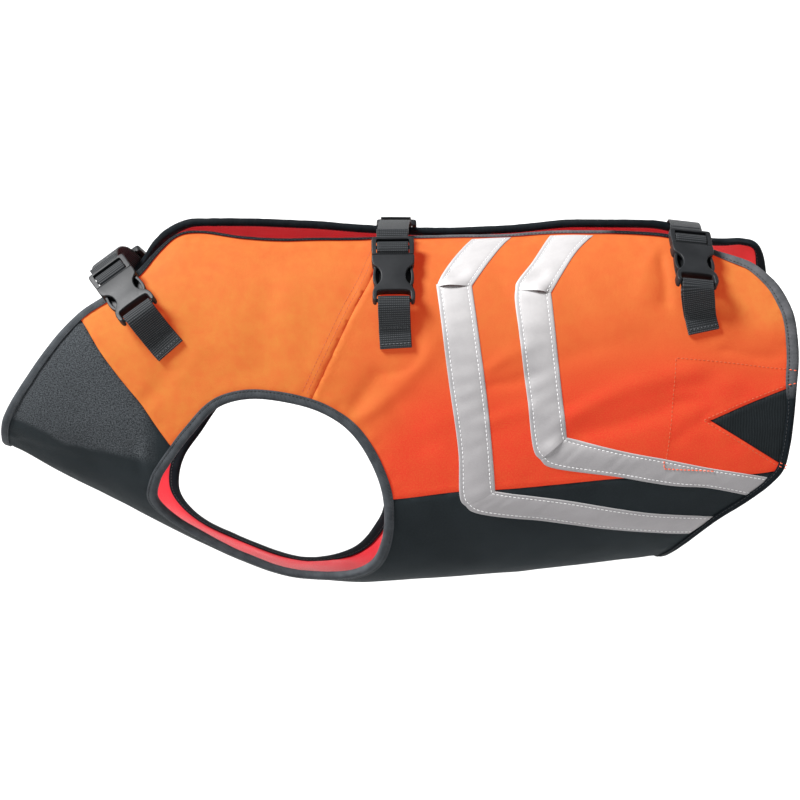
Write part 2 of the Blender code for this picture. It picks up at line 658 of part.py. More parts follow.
def join(name, start, steps):
    """The start mesh with each (operation, mesh) of the steps applied as an exact Boolean."""
    holder = bpy.data.objects.new(name + "_blank", start)
    CUTTERS.objects.link(holder)
    made = [holder]
    for i, (operation, mesh) in enumerate(steps):
        tool = bpy.data.objects.new(name + "_tool_%d" % i, mesh)
        CUTTERS.objects.link(tool)
        made.append(tool)
        cut = holder.modifiers.new("step_%d" % i, "BOOLEAN")
        cut.operation, cut.object = operation, tool
    bpy.context.view_layer.update()
    mesh = bpy.data.meshes.new_from_object(holder.evaluated_get(bpy.context.evaluated_depsgraph_get()))
    for thing in made:
        bpy.data.objects.remove(thing, do_unlink=True)
    mesh.materials.clear()
    return mesh


MIDDLE = PLATE / 2  # height of the buckle's middle plane above its underside
BAR_U, BAR_N = -27.4, 4.0  # middle of the bar that the sewn webbing turns round
BAR_TURN = 3.05  # middle of that webbing from the middle of the bar


def female_mesh():
    """The housing: hollow from its mouth, open at the waist, with a slot and a bar for the sewn webbing."""
    plate = solid_outline("housing", housing_outline(), 0.0, PLATE)
    cavity = block((CAVITY_END, FEMALE_TOP + 3), (-CAVITY_WIDTH / 2, CAVITY_WIDTH / 2), (MIDDLE - CAVITY_HEIGHT / 2, MIDDLE + CAVITY_HEIGHT / 2))
    notch = block((-33, -19.5), (-13.4, 13.4), (-3, PLATE + 3))
    bar = block((BAR_U - 1.4, BAR_U + 1.4), (-14.2, 14.2), (BAR_N - 1.4, BAR_N + 1.4))
    return join("female", plate, [("DIFFERENCE", cavity), ("DIFFERENCE", notch), ("UNION", bar)])


def male_mesh():
    """The base with its two ladder bars, and the two arms that reach into the housing."""
    frame = solid_outline("base", ((BUCKLE_LENGTH / 2, 15.4), (BUCKLE_LENGTH / 2 - 1.5, 16.5), (FEMALE_TOP + 1.6, 16.5), (FEMALE_TOP + GAP, 15.2)), 1.2, 7.8)
    window = block((15.6, 26.6), (-13.4, 13.4), (-3, PLATE + 3))
    under = block((15.6, 33.0), (-13.4, 13.4), (-3, 2.6))
    sunk_bar = block((19.8, 22.8), (-14.2, 14.2), (2.8, 5.4))
    steps = [("DIFFERENCE", window), ("DIFFERENCE", under), ("UNION", sunk_bar)]
    fit = CAVITY_HEIGHT / 2 - LATCH_FIT
    arm = (
        (FEMALE_TOP + 2.0, 11.6), (6.0, 11.6), (1.4, 11.7), (-1.2, 12.6), (-5.0, 13.4), (-9.0, 13.0), (-11.8, 11.5),
        (-13.4, 9.4), (-14.2, 7.2), (-12.4, 6.4), (-9.0, 8.2), (-4.0, 9.6), (2.0, 9.2), (8.0, 8.0), (FEMALE_TOP + 2.0, 7.6),
    )
    for sign in (1, -1):
        curve = solid_arm("arm", [(u, sign * v) for u, v in arm], MIDDLE - fit, MIDDLE + fit)
        steps.append(("UNION", curve))
    return join("male", frame, steps)


def solid_arm(name, outline, low, high):
    bm = bmesh.new()
    face = bm.faces.new([bm.verts.new(Vector((u, v, low)) * MM) for u, v in outline])
    made = bmesh.ops.extrude_face_region(bm, geom=[face])
    for v in made["geom"]:
        if isinstance(v, bmesh.types.BMVert):
            v.co.z = high * MM
    bmesh.ops.recalc_face_normals(bm, faces=bm.faces[:])
    mesh = bpy.data.meshes.new(name)
    bm.to_mesh(mesh)
    bm.free()
    return mesh


def placed(name, mesh, frame, look):
    """A buckle part in its frame: u up the strap, v across, n out."""
    origin, way, cross, out = frame
    # the parts are modelled with u, v, n right-handed, so a left-handed frame swaps the way across
    if np.cross(way, cross) @ out < 0:
        cross = -cross
    copy = mesh.copy()
    thing = finish(name, copy, look)
    thing.matrix_world = Matrix(
        [
            [way[i], cross[i], out[i], origin[i] * MM]
            for i in range(3)
        ]
        + [[0, 0, 0, 1]]
    )
    return thing


def sewn_webbing(name, x, t, lean, frame, end, webbing_lean):
    """Webbing sewn to the panel: up from its lower end, round the housing's bar and back down over itself."""
    origin, way, cross, out = frame
    places, step = walk_down(x, t, lean, webbing_lean, end)
    far = np.arange(len(places)) * step
    line, sides = [], []

    def on_cloth(s, h):
        place = [np.interp(s, far, places[:, 0]), np.interp(s, far, places[:, 1])]
        point, _, across, _ = frame_on(place[0], place[1], webbing_lean, 0.0, h)
        line.append(point)
        sides.append(across)

    def on_buckle(u, n):
        line.append(origin + way * u + out * n)
        sides.append(cross)

    low = GAP + WEBBING / 2
    high = low + WEBBING + 0.4
    for s in (end, end - 7.0, end - 13.0):
        on_cloth(s, low)
    on_buckle(BAR_U - 5.5, BAR_N - BAR_TURN - 1.6)
    for angle in (-115, -70, -25, 25, 70, 110):
        a = math.radians(angle)
        on_buckle(BAR_U + BAR_TURN * math.cos(a), BAR_N + BAR_TURN * math.sin(a))
    on_buckle(BAR_U - 6.0, BAR_N + BAR_TURN - 2.0)
    for s in (end - 11.5, end - 6.0, end - 0.5):
        on_cloth(s, high)
    line, side = np.array(line), np.array(sides)
    run = np.vstack([line[1:] - line[:-1], line[-1:] - line[-2:-1]])
    run = unit(unit(run) + unit(np.vstack([run[:1], run[:-1]])))
    side = unit(side - (side * run).sum(1, keepdims=True) * run)
    return ribbon(name, line, side, unit(np.cross(run, side)), WEBBING_WIDTH, WEBBING, "webbing")


def bridge_webbing(name, left, right, follow):
    """Webbing from one buckle to the other across the open back, each end turned round its ladder bar and led back."""
    def around_bar(frame):
        """The tail, the turn round the sunk bar and the way out under the end bar, as places (u, n) on the buckle."""
        origin, way, _, out = frame
        tail = ((42.0, -2.0), (36.0, -1.3), (29.5, -0.7), (22.0, -0.7), (19.3, -0.3))
        turn = ((17.7, 1.0), (17.4, 3.0), (17.7, 5.0), (19.0, 6.6), (21.3, 7.0), (23.6, 6.5), (24.8, 4.9))
        leave = ((25.1, 3.3), (25.4, 2.0), (26.9, 1.15), (29.5, 1.1))
        return np.array([origin + way * u + out * n for u, n in tail + turn + leave])

    a, b = around_bar(left), around_bar(right)
    p0, d0 = a[-1], left[1]
    p1, d1 = b[-1], -right[1]
    span = np.linalg.norm(p1 - p0)
    u = np.linspace(0, 1, 7)[1:-1, None]
    pull = span * follow
    arch = (
        (2 * u**3 - 3 * u**2 + 1) * p0 + (u**3 - 2 * u**2 + u) * pull * d0
        + (3 * u**2 - 2 * u**3) * p1 + (u**3 - u**2) * pull * d1
    )
    line = np.vstack([a, arch, b[::-1]])
    share = np.concatenate([np.zeros(len(a)), u[:, 0], np.ones(len(b))])[:, None]
    other = right[2] if right[2] @ left[2] > 0 else -right[2]
    side = unit(left[2] * (1 - share) + other * share)
    run = np.vstack([line[1:] - line[:-1], line[-1:] - line[-2:-1]])
    run = unit(unit(run) + unit(np.vstack([run[:1], run[:-1]])))
    side = unit(side - (side * run).sum(1, keepdims=True) * run)
    normal = unit(np.cross(run, side))
    return ribbon(name, line, side, normal, WEBBING_WIDTH, WEBBING, "webbing")


# ---------------------------------------------------------------- the vest
def main():
    net, outer, arms, tapes = build_net()
    parts, strips = part_of(net, outer, tapes)
    looks = {"underbody_panel": "grey", "gusset_left": "black", "gusset_right": "black"}
    for name, chosen in parts.items():
        cloth_piece(name, net, chosen, PANEL, looks.get(name, "orange"))
    cloth_piece("lining", net, np.ones(len(net.faces), bool), LINING, "red")
    for name, chosen in strips.items():
        cloth_piece(name, net, chosen, TAPE, "silver")
    binding("edge_binding", outer, "black")
    binding("armhole_binding_left", arms[0], "black")
    binding("armhole_binding_right", arms[1], "black")

    female, male = female_mesh(), male_mesh()
    for name, x, t, lean, pitch, rise, right_up, right_aft, end, webbing_lean, follow in FASTENINGS:
        frames = []
        for side, along, place in (("left", x, -t), ("right", x + right_aft, t + right_up)):
            frame = frame_on(along, place, lean, pitch, rise)
            frames.append(frame)
            placed("buckle_female_%s_%s" % (name, side), female, frame, "plastic")
            placed("buckle_male_%s_%s" % (name, side), male, frame, "plastic")
            sewn_webbing("anchor_strap_%s_%s" % (name, side), along, place, lean, frame, end, webbing_lean)
        bridge_webbing("bridge_strap_%s" % name, *frames, follow)
    for mesh in (female, male):
        bpy.data.meshes.remove(mesh)


main()
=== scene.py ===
"""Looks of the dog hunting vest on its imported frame: fine cloth with its creases, bindings, tapes, webbing, buckles, stitches.

Lengths are in millimetres in the tables and functions, and become metres when a mesh is made. A place on the cloth is
(x, t): x along the body, t the way round it, 0 on the middle of the belly and 1 over the spine, negative on the left.
Laid flat, a place is (x, g) with g = t * GIRTH.
"""

import json
import math

import bmesh
import bpy
import numpy as np
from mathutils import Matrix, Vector
from mathutils.geometry import delaunay_2d_cdt

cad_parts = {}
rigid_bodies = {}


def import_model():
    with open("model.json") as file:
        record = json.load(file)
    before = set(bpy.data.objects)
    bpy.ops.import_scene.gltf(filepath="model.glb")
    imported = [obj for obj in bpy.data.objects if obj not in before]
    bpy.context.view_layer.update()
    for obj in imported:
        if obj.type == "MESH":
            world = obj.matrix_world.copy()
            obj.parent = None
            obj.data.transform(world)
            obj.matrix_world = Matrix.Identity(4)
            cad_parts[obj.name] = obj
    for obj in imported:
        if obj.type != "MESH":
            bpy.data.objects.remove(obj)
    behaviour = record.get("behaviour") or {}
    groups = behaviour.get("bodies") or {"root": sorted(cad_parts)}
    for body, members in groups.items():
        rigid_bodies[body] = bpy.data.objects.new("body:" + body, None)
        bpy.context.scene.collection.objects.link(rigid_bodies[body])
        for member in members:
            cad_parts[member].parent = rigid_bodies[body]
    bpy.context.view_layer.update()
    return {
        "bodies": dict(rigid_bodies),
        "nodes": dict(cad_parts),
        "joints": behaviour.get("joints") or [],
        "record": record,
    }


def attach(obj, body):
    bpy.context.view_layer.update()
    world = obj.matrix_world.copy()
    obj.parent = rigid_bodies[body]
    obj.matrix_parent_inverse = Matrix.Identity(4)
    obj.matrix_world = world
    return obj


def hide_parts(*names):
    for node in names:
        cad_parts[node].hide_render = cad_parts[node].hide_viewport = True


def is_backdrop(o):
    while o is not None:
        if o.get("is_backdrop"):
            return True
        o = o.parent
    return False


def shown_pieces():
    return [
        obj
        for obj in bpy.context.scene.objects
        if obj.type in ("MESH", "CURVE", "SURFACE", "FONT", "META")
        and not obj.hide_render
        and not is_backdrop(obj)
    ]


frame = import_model()

# ---------------------------------------------------------------- sizes, as in the CAD
MM = 0.001
GIRTH = 400.0
BIND_WIDTH, ARM_BIND_WIDTH = 7.0, 8.0
EDGE_CLOTH = 1.4
WEBBING_WIDTH, WEBBING = 25.0, 1.4
BUCKLE_LENGTH, FEMALE_TOP, FEMALE_BOTTOM = 59.0, 12.6, -29.5
PLATE, CAVITY_WIDTH, CAVITY_HEIGHT, CAVITY_END = 8.4, 24.4, 4.6, -15.0
BAR_U, BAR_N, BAR_TURN = -27.4, 4.0, 3.05

# x, z_belly, z_widest, z_spine, half_width, roundness below, roundness above
SECTIONS = (
    (-326, -173, -138, -84.0, 52, 2.10, 2.10),
    (-305, -182.5, -128, -60.0, 64, 2.10, 2.10),
    (-275, -199.5, -118, -38.0, 76, 2.15, 2.15),
    (-235, -219, -114, -20.0, 86, 2.20, 2.20),
    (-200, -237, -116, -6.0, 91, 2.35, 2.30),
    (-165, -254, -120, 6.5, 94, 2.60, 2.40),
    (-125, -272, -124, 6.5, 97, 2.90, 2.50),
    (-75, -286, -128, 5.0, 99, 3.10, 2.50),
    (-25, -289, -129, 1.5, 100, 3.10, 2.50),
    (30, -286, -128, -0.5, 100, 2.90, 2.50),
    (90, -282, -127, 1.5, 99, 2.70, 2.50),
    (150, -276, -126, 6.0, 97, 2.50, 2.45),
    (210, -269, -126, 6.0, 94, 2.40, 2.40),
    (265, -262, -127, -5.0, 90, 2.30, 2.30),
    (330, -252, -130, -24.0, 84, 2.30, 2.30),
)
FLARE, FLARE_X, FLARE_T = 21.0, (248.0, 293.0), (0.74, 0.91)

# finished edges, as (x, t) from belly to spine
NECK = (
    (-321, 0.00), (-320, 0.12), (-319, 0.22), (-317.5, 0.31), (-314, 0.39), (-307, 0.45),
    (-298, 0.50), (-282, 0.575), (-266, 0.64),
)
NECK_TOP_LEFT = ((-248, 0.693), (-228, 0.73), (-205, 0.785), (-188, 0.845), (-175, 0.876))
NECK_TOP_RIGHT = ((-247, 0.70), (-229, 0.76), (-212, 0.83), (-200, 0.90), (-188, 0.945))
BACK_LEFT = (
    (-157, 0.884), (-123, 0.862), (-91, 0.859), (-60, 0.866), (-28, 0.875), (18, 0.892), (52, 0.895),
    (84, 0.890), (116, 0.893), (148, 0.890), (180, 0.891), (212, 0.886), (240, 0.872),
)
BACK_RIGHT = (
    (-165, 0.966), (-123, 0.966), (-91, 0.962), (-60, 0.960), (-28, 0.958), (18, 0.951), (52, 0.946),
    (84, 0.948), (116, 0.950), (148, 0.960), (180, 0.962), (212, 0.954), (240, 0.940),
)
REAR_TOP_LEFT = ((256, 0.862), (272, 0.855), (285, 0.845), (296, 0.821), (304, 0.796), (311, 0.758), (315.5, 0.72))
REAR_TOP_RIGHT = (
    (252, 0.928), (265, 0.882), (278, 0.863), (291, 0.860), (299, 0.861), (304.5, 0.855), (309, 0.838), (312.5, 0.808),
    (316, 0.745),
)
REAR = (
    (318, 0.652), (318.5, 0.594), (317, 0.522), (315, 0.422), (312.5, 0.345), (308, 0.285),
    (298, 0.250), (281, 0.213), (255, 0.166), (234, 0.110), (222, 0.052), (219, 0.00),
)
ARMHOLE_TOP = ((-137, 0.447), (-113, 0.474), (-84, 0.473), (-58, 0.452), (-37, 0.412), (-20, 0.346), (-9.5, 0.274))
ARMHOLE_LEFT = ARMHOLE_TOP + (
    (-9.5, 0.208), (-19, 0.155), (-39, 0.122), (-67, 0.107), (-95, 0.108), (-122, 0.116), (-150, 0.127),
    (-176.5, 0.144), (-189.6, 0.178), (-186.8, 0.236), (-177, 0.291), (-159, 0.370),
)
ARMHOLE_RIGHT = ARMHOLE_TOP + (
    (-10.5, 0.208), (-18, 0.178), (-32, 0.140), (-49, 0.114), (-71, 0.094), (-94, 0.093), (-112, 0.096), (-136, 0.103),
    (-159, 0.105), (-173, 0.124), (-182.5, 0.157), (-184.5, 0.202), (-180, 0.258), (-166, 0.325), (-152, 0.392),
)

# seams, as (x, t); the ends run past the finished edges
CHEST_SEAM = ((-262, 0.720), (-251, 0.679), (-232, 0.564), (-216, 0.489), (-200, 0.426), (-185, 0.361), (-168, 0.300))
SHOULDER_SEAM = ((-71, 0.435), (-65, 0.486), (-58, 0.534), (-47, 0.607), (-33, 0.692), (-18, 0.771), (-5, 0.882), (3, 0.985))
BELLY_SEAM = ((-22, 0.270), (-1, 0.270), (51, 0.279), (81, 0.279), (130, 0.281), (178, 0.286), (233, 0.281), (283, 0.279), (316, 0.289))
GUSSET_TIP = (248.5, 0.417)
GUSSET_TOP_SEAM = ((248.5, 0.417), (308, 0.511), (326, 0.540))
GUSSET_LOW_SEAM = ((248.5, 0.417), (303, 0.307), (322, 0.269))

# reflective tapes: outer and inner line, and where along each its two corners are
TAPES = {
    "front": (
        ((80, 0.950), (63, 0.881), (37, 0.772), (32.7, 0.745), (35, 0.697), (43, 0.509), (50, 0.355), (52, 0.262), (60, 0.243), (116, 0.213), (180, 0.175), (234, 0.146), (262, 0.128)),
        ((111.5, 0.953), (95, 0.886), (60.6, 0.746), (65, 0.654), (72, 0.490), (76.6, 0.353), (79, 0.277), (136, 0.248), (201, 0.209), (255.5, 0.182), (280, 0.166)),
        (3.0, 7.5), (2.0, 6.0),
    ),
    "rear": (
        ((143, 0.958), (127, 0.890), (109, 0.802), (95.2, 0.750), (94, 0.723), (97, 0.646), (103.5, 0.488), (110, 0.349), (119, 0.322), (178, 0.289), (221, 0.263), (248, 0.253), (281, 0.228), (306, 0.205)),
        ((179, 0.961), (161, 0.883), (144, 0.824), (122.6, 0.729), (126, 0.634), (131, 0.486), (135, 0.383), (178, 0.348), (212, 0.325), (247, 0.300), (276, 0.283), (296, 0.270), (316, 0.255)),
        (3.5, 7.5), (3.0, 6.0),
    ),
}

FASTENINGS = (
    # name, x, t, lean, pitch, rise, right_up, right_aft, webbing_end, webbing_lean, pull
    ("front", -211.7, 0.721, -35.1, 8.9, 4.0, 0.020, 0.0, 58.0, -44.0, 0.46),
    ("middle", -1.3, 0.773, -0.6, 0.0, 2.9, 0.050, 2.7, 60.5, -3.5, 0.36),
    ("rear", 233.8, 0.805, -4.5, 10.5, 4.4, 0.014, 5.0, 56.5, -13.0, 0.58),
)

# soft creases on the outer cloth of one side: from (x0, g0) to (x1, g1), g up from the belly line, half width, height
# (negative is a trough)
CREASES_LEFT = (
    # x0, g0, x1, g1, width, height
    (-36, 178, 16, 247, 8.5, -1.9),
    (-26, 176, 30, 251, 8.0, 1.5),
    (-62, 226, -40, 268, 9.0, 0.7),
    (-99, 286, -103, 218, 13.0, -1.0),
    (-84, 290, -86, 216, 12.0, 0.6),
    (-150, 250, -128, 216, 15.0, -0.9),
    (-168, 206, -150, 240, 10.0, 0.8),
    (-196, 176, -176, 214, 9.0, -0.9),
    (-214, 232, -196, 200, 8.0, 0.7),
    (-140, 318, -70, 322, 9.0, -0.7),
    (-180, 318, -158, 330, 10.0, 0.8),
    (10, 268, 18, 322, 7.0, -1.5),
    (24, 262, 22, 318, 8.0, 0.9),
    (-32, 300, -40, 262, 8.0, -0.8),
    (2, 214, 34, 176, 10.0, 0.9),
    (-2, 190, 22, 150, 9.0, -1.1),
    (78, 226, 100, 240, 7.0, 1.1),
    (80, 208, 104, 214, 7.5, -1.2),
    (78, 172, 106, 180, 8.0, 0.8),
    (84, 300, 100, 276, 8.0, -0.8),
    (142, 176, 232, 220, 11.0, 1.6),
    (148, 158, 240, 200, 12.0, -1.8),
    (140, 236, 196, 250, 13.0, -0.9),
    (150, 300, 172, 262, 12.0, 0.8),
    (212, 322, 214, 288, 6.0, -2.0),
    (205, 330, 196, 292, 8.0, 1.0),
    (254, 300, 268, 262, 10.0, -1.0),
    (262, 244, 304, 240, 7.0, -1.1),
    (240, 256, 296, 262, 9.0, 0.9),
    (226, 196, 262, 206, 9.0, 0.8),
    (224, 150, 246, 168, 8.0, -0.8),
    (150, 128, 210, 122, 7.0, -0.6),
    (-270, 232, -236, 168, 14.0, -1.0),
    (-292, 186, -262, 132, 13.0, 1.1),
    (-250, 214, -214, 150, 12.0, 0.8),
    (-300, 96, -240, 92, 13.0, -1.0),
    (-206, 120, -198, 88, 6.5, -1.2),
    (-196, 128, -190, 92, 5.5, 0.9),
    (-286, 60, -210, 52, 16.0, 0.9),
    (10, 92, 60, 70, 12.0, -1.0),
    (30, 108, 90, 84, 12.0, 0.8),
    (110, 60, 200, 40, 16.0, -1.0),
    (150, 84, 228, 62, 10.0, 0.8),
    (-60, 20, 20, 14, 14.0, -0.7),
)
CREASES_RIGHT = (
    (-40, 172, 8, 236, 8.0, -1.7),
    (-28, 170, 20, 240, 9.0, 1.3),
    (-66, 232, -48, 276, 9.0, 0.8),
    (-108, 300, -94, 226, 13.0, -1.2),
    (-92, 300, -78, 232, 12.0, 0.7),
    (-150, 262, -122, 222, 14.0, -1.0),
    (-172, 210, -146, 246, 11.0, 0.9),
    (-200, 182, -182, 220, 9.0, -0.8),
    (-150, 350, -80, 356, 10.0, -0.8),
    (14, 290, 20, 342, 7.0, -1.3),
    (28, 284, 24, 340, 8.0, 0.9),
    (-34, 312, -44, 276, 8.0, -0.8),
    (4, 222, 40, 186, 10.0, 1.0),
    (-4, 196, 24, 158, 9.0, -1.2),
    (76, 238, 98, 250, 7.0, 1.0),
    (80, 214, 102, 222, 7.5, -1.1),
    (86, 330, 104, 290, 9.0, -0.8),
    (140, 186, 226, 236, 12.0, 1.4),
    (150, 164, 238, 214, 12.0, -1.6),
    (144, 250, 200, 268, 13.0, -1.0),
    (152, 320, 176, 276, 12.0, 0.9),
    (212, 330, 216, 296, 6.0, -1.6),
    (256, 306, 270, 268, 10.0, -1.1),
    (262, 250, 304, 246, 7.0, -1.0),
    (226, 200, 264, 212, 9.0, 0.8),
    (250, 330, 286, 318, 9.0, 1.2),
    (-270, 236, -240, 172, 14.0, -1.0),
    (-292, 190, -264, 136, 13.0, 1.0),
    (-252, 218, -216, 156, 12.0, 0.8),
    (-300, 100, -242, 96, 13.0, -0.9),
    (-206, 124, -198, 92, 6.5, -1.1),
    (-284, 58, -214, 50, 16.0, 0.8),
    (14, 96, 66, 72, 12.0, -1.0),
    (34, 112, 96, 86, 12.0, 0.8),
    (114, 62, 204, 44, 16.0, -0.9),
    (-50, 24, 30, 16, 14.0, -0.6),
)


# ---------------------------------------------------------------- the cloth's form, as in the CAD
def smooth_table(xs, ys, x):
    x = np.asarray(x, float)
    step = np.diff(xs)
    slope = np.diff(ys) / step
    at = np.zeros_like(ys)
    at[0], at[-1] = slope[0], slope[-1]
    for i in range(1, len(xs) - 1):
        if slope[i - 1] * slope[i] > 0:
            a, b = 2 * step[i] + step[i - 1], step[i] + 2 * step[i - 1]
            at[i] = (a + b) / (a / slope[i - 1] + b / slope[i])
    k = np.clip(np.searchsorted(xs, x, side="right") - 1, 0, len(xs) - 2)
    u = (x - xs[k]) / step[k]
    return (
        (1 + 2 * u) * (1 - u) ** 2 * ys[k]
        + u * (1 - u) ** 2 * step[k] * at[k]
        + u * u * (3 - 2 * u) * ys[k + 1]
        + u * u * (u - 1) * step[k] * at[k + 1]
    )


SECTION_TABLE = np.array(SECTIONS, float)


def ease(a, low, high):
    u = np.clip((a - low) / (high - low), 0, 1)
    return u * u * (3 - 2 * u)


def base(x, t):
    x, t = np.asarray(x, float), np.asarray(t, float)
    belly, widest, spine, half, low, high = (
        smooth_table(SECTION_TABLE[:, 0], SECTION_TABLE[:, i], x) for i in range(1, 7)
    )
    c, s = np.cos(np.pi * t), np.sin(np.pi * t)
    reach = np.where(c > 0, widest - belly, spine - widest)
    power = np.where(c > 0, low, high)
    r = (np.abs(c / reach) ** power + np.abs(s / half) ** power) ** (-1 / power)
    lift = FLARE * ease(x, *FLARE_X) * ease(t, *FLARE_T)
    return np.stack([x + 0 * r, r * s + 0.25 * lift, widest - r * c + lift], -1)


def unit(v):
    return v / np.maximum(np.linalg.norm(v, axis=-1, keepdims=True), 1e-12)


def slopes(x, t):
    x, t = np.asarray(x, float), np.asarray(t, float)
    along = base(x + 0.5, t) - base(x - 0.5, t)
    around = (base(x, t + 0.001) - base(x, t - 0.001)) / 0.002
    return along, around, unit(np.cross(around, along))


def surface(x, t, h=0.0):
    return base(x, t) + np.asarray(h, float)[..., None] * slopes(x, t)[2]


def moved(places, way):
    along, around, _ = slopes(places[:, 0], places[:, 1])
    aa, ab, bb = (along * along).sum(1), (along * around).sum(1), (around * around).sum(1)
    wa, wb = (way * along).sum(1), (way * around).sum(1)
    det = aa * bb - ab * ab
    return places + np.stack([(wa * bb - wb * ab) / det, (wb * aa - wa * ab) / det], 1)


def flat(places):
    places = np.asarray(places, float)
    return np.stack([places[:, 0], places[:, 1] * GIRTH], 1)


def unflat(points):
    return np.stack([points[:, 0], points[:, 1] / GIRTH], 1)


def mirrored(places):
    return [(x, -t) for x, t in places]


def catmull(p, cuts, closed):
    """A centripetal Catmull-Rom curve through flat points."""
    p = np.asarray(p, float)
    n = len(p)
    if not closed:
        p = np.vstack([2 * p[0] - p[1], p, 2 * p[-1] - p[-2]])
    out = []
    for i in range(n if closed else n - 1):
        a, b, c, d = (p[(i + k) % n] for k in (-1, 0, 1, 2)) if closed else (p[i + k] for k in range(4))
        t1 = np.linalg.norm(b - a) ** 0.5
        t2 = t1 + np.linalg.norm(c - b) ** 0.5
        t3 = t2 + np.linalg.norm(d - c) ** 0.5
        s = (t1 + (t2 - t1) * np.arange(cuts) / cuts)[:, None]
        ab = a + (b - a) * s / t1
        bc = b + (c - b) * (s - t1) / (t2 - t1)
        cd = c + (d - c) * (s - t2) / (t3 - t2)
        abc = ab + (bc - ab) * s / t2
        bcd = bc + (cd - bc) * (s - t1) / (t3 - t1)
        out.append(abc + (bcd - abc) * (s - t1) / (t2 - t1))
    out = np.vstack(out)
    return out if closed else np.vstack([out, p[-2]])


def rounded_loop(knots, cuts=10):
    return unflat(catmull(flat(knots), cuts, True))


def inward(loop, closed=True, side=1.0):
    along = surface(loop[:, 0], loop[:, 1])
    if closed:
        back, ahead = along - np.roll(along, 1, 0), np.roll(along, -1, 0) - along
    else:
        ahead = np.vstack([along[1:] - along[:-1], along[-1:] - along[-2:-1]])
        back = np.vstack([ahead[:1], ahead[:-1]])
    run = unit(unit(back) + unit(ahead))
    return side * unit(np.cross(slopes(loop[:, 0], loop[:, 1])[2], run))


def inset(loop, by, side, closed=True):
    return moved(loop, by * inward(loop, closed, side))


def inside(points, polygon):
    points, polygon = np.atleast_2d(points), np.asarray(polygon)
    hit = np.zeros(len(points), bool)
    for a, b in zip(polygon, np.roll(polygon, -1, 0)):
        if a[1] == b[1]:
            continue
        spans = (a[1] > points[:, 1]) != (b[1] > points[:, 1])
        where = a[0] + (points[:, 1] - a[1]) * (b[0] - a[0]) / (b[1] - a[1])
        hit ^= spans & (points[:, 0] < where)
    return hit


def spaced(places, step, closed=False):
    """The line again, with places this far apart on the cloth."""
    if closed:
        places = np.vstack([places, places[:1]])
    line = surface(places[:, 0], places[:, 1])
    far = np.concatenate([[0], np.cumsum(np.linalg.norm(np.diff(line, axis=0), axis=1))])
    n = max(2, int(round(far[-1] / step)))
    stops = np.linspace(0, far[-1], n + 1)
    if closed:
        stops = stops[:-1]
    return np.stack([np.interp(stops, far, places[:, k]) for k in (0, 1)], 1)


def nearest(points, line, closed=False):
    """How far flat points, scaled to the cloth, are from a flat line."""
    a = np.asarray(line, float)
    b = np.roll(a, -1, 0) if closed else a[1:]
    a = a if closed else a[:-1]
    best = np.full(len(points), 1e9)
    for start in range(0, len(points), 20000):
        p = points[start:start + 20000]
        near = np.full(len(p), 1e9)
        for q, r in zip(a, b):
            d = r - q
            u = np.clip(((p - q) @ d) / max(float(d @ d), 1e-9), 0, 1)
            near = np.minimum(near, ((p - q - u[:, None] * d) ** 2).sum(1))
        best[start:start + 20000] = np.sqrt(near)
    return best


# ---------------------------------------------------------------- relief of the outer cloth
def waves(x, g, seed, size, count=7):
    """Soft irregular rises and falls of about this size, from -1 to 1."""
    rng = np.random.default_rng(seed)
    out = 0.0
    for _ in range(count):
        a = rng.uniform(0, 2 * np.pi)
        k = 2 * np.pi / (size * rng.uniform(0.7, 1.5))
        out = out + np.sin(k * (x * np.cos(a) + g * np.sin(a)) + rng.uniform(0, 2 * np.pi))
    return out / count * 1.6


def crease_sum(x, g, rows):
    out = np.zeros_like(x)
    for i, (x0, g0, x1, g1, width, height) in enumerate(rows):
        d = np.array([x1 - x0, g1 - g0], float)
        length = np.hypot(*d)
        u = ((x - x0) * d[0] + (g - g0) * d[1]) / length**2
        off = ((x - x0) * d[1] - (g - g0) * d[0]) / length
        bend = 0.06 * length * np.sin(np.pi * np.clip(u, 0, 1)) * (1 if i % 2 else -1)
        over = np.where(u < 0, -u, np.where(u > 1, u - 1, 0)) * length
        # a crease is narrower at one end and fades past both
        w = width * (0.75 + 0.5 * np.clip(u, 0, 1))
        out += height * np.exp(-(((off - bend) / w) ** 2) - (over / (1.3 * width)) ** 2)
    return out


def strap_paths():
    """The middle line of each sewn strap on the cloth, laid flat, by side."""
    out = {-1: [], 1: []}
    for name, x, t, lean, pitch, rise, right_up, right_aft, end, webbing_lean, pull in FASTENINGS:
        for sign, along, place in ((-1, x, -t), (1, x + right_aft, t + right_up)):
            out[sign].append(flat(walk_down(along, place, lean, webbing_lean, end)[0]))
    return out


def walk_down(x, t, lean, webbing_lean, reach, step=2.0):
    places = [(x, t)]
    for i in range(int(reach / step) + 2):
        along, around, normal = slopes(x, t)
        around = around * (1 if t > 0 else -1)
        a = math.radians(lean if i * step < -BAR_U else webbing_lean)
        x -= step * math.sin(a) / np.linalg.norm(along)
        t -= (1 if t > 0 else -1) * step * math.cos(a) / np.linalg.norm(around)
        places.append((x, t))
    return np.array(places), step


STRAP_PATHS = strap_paths()


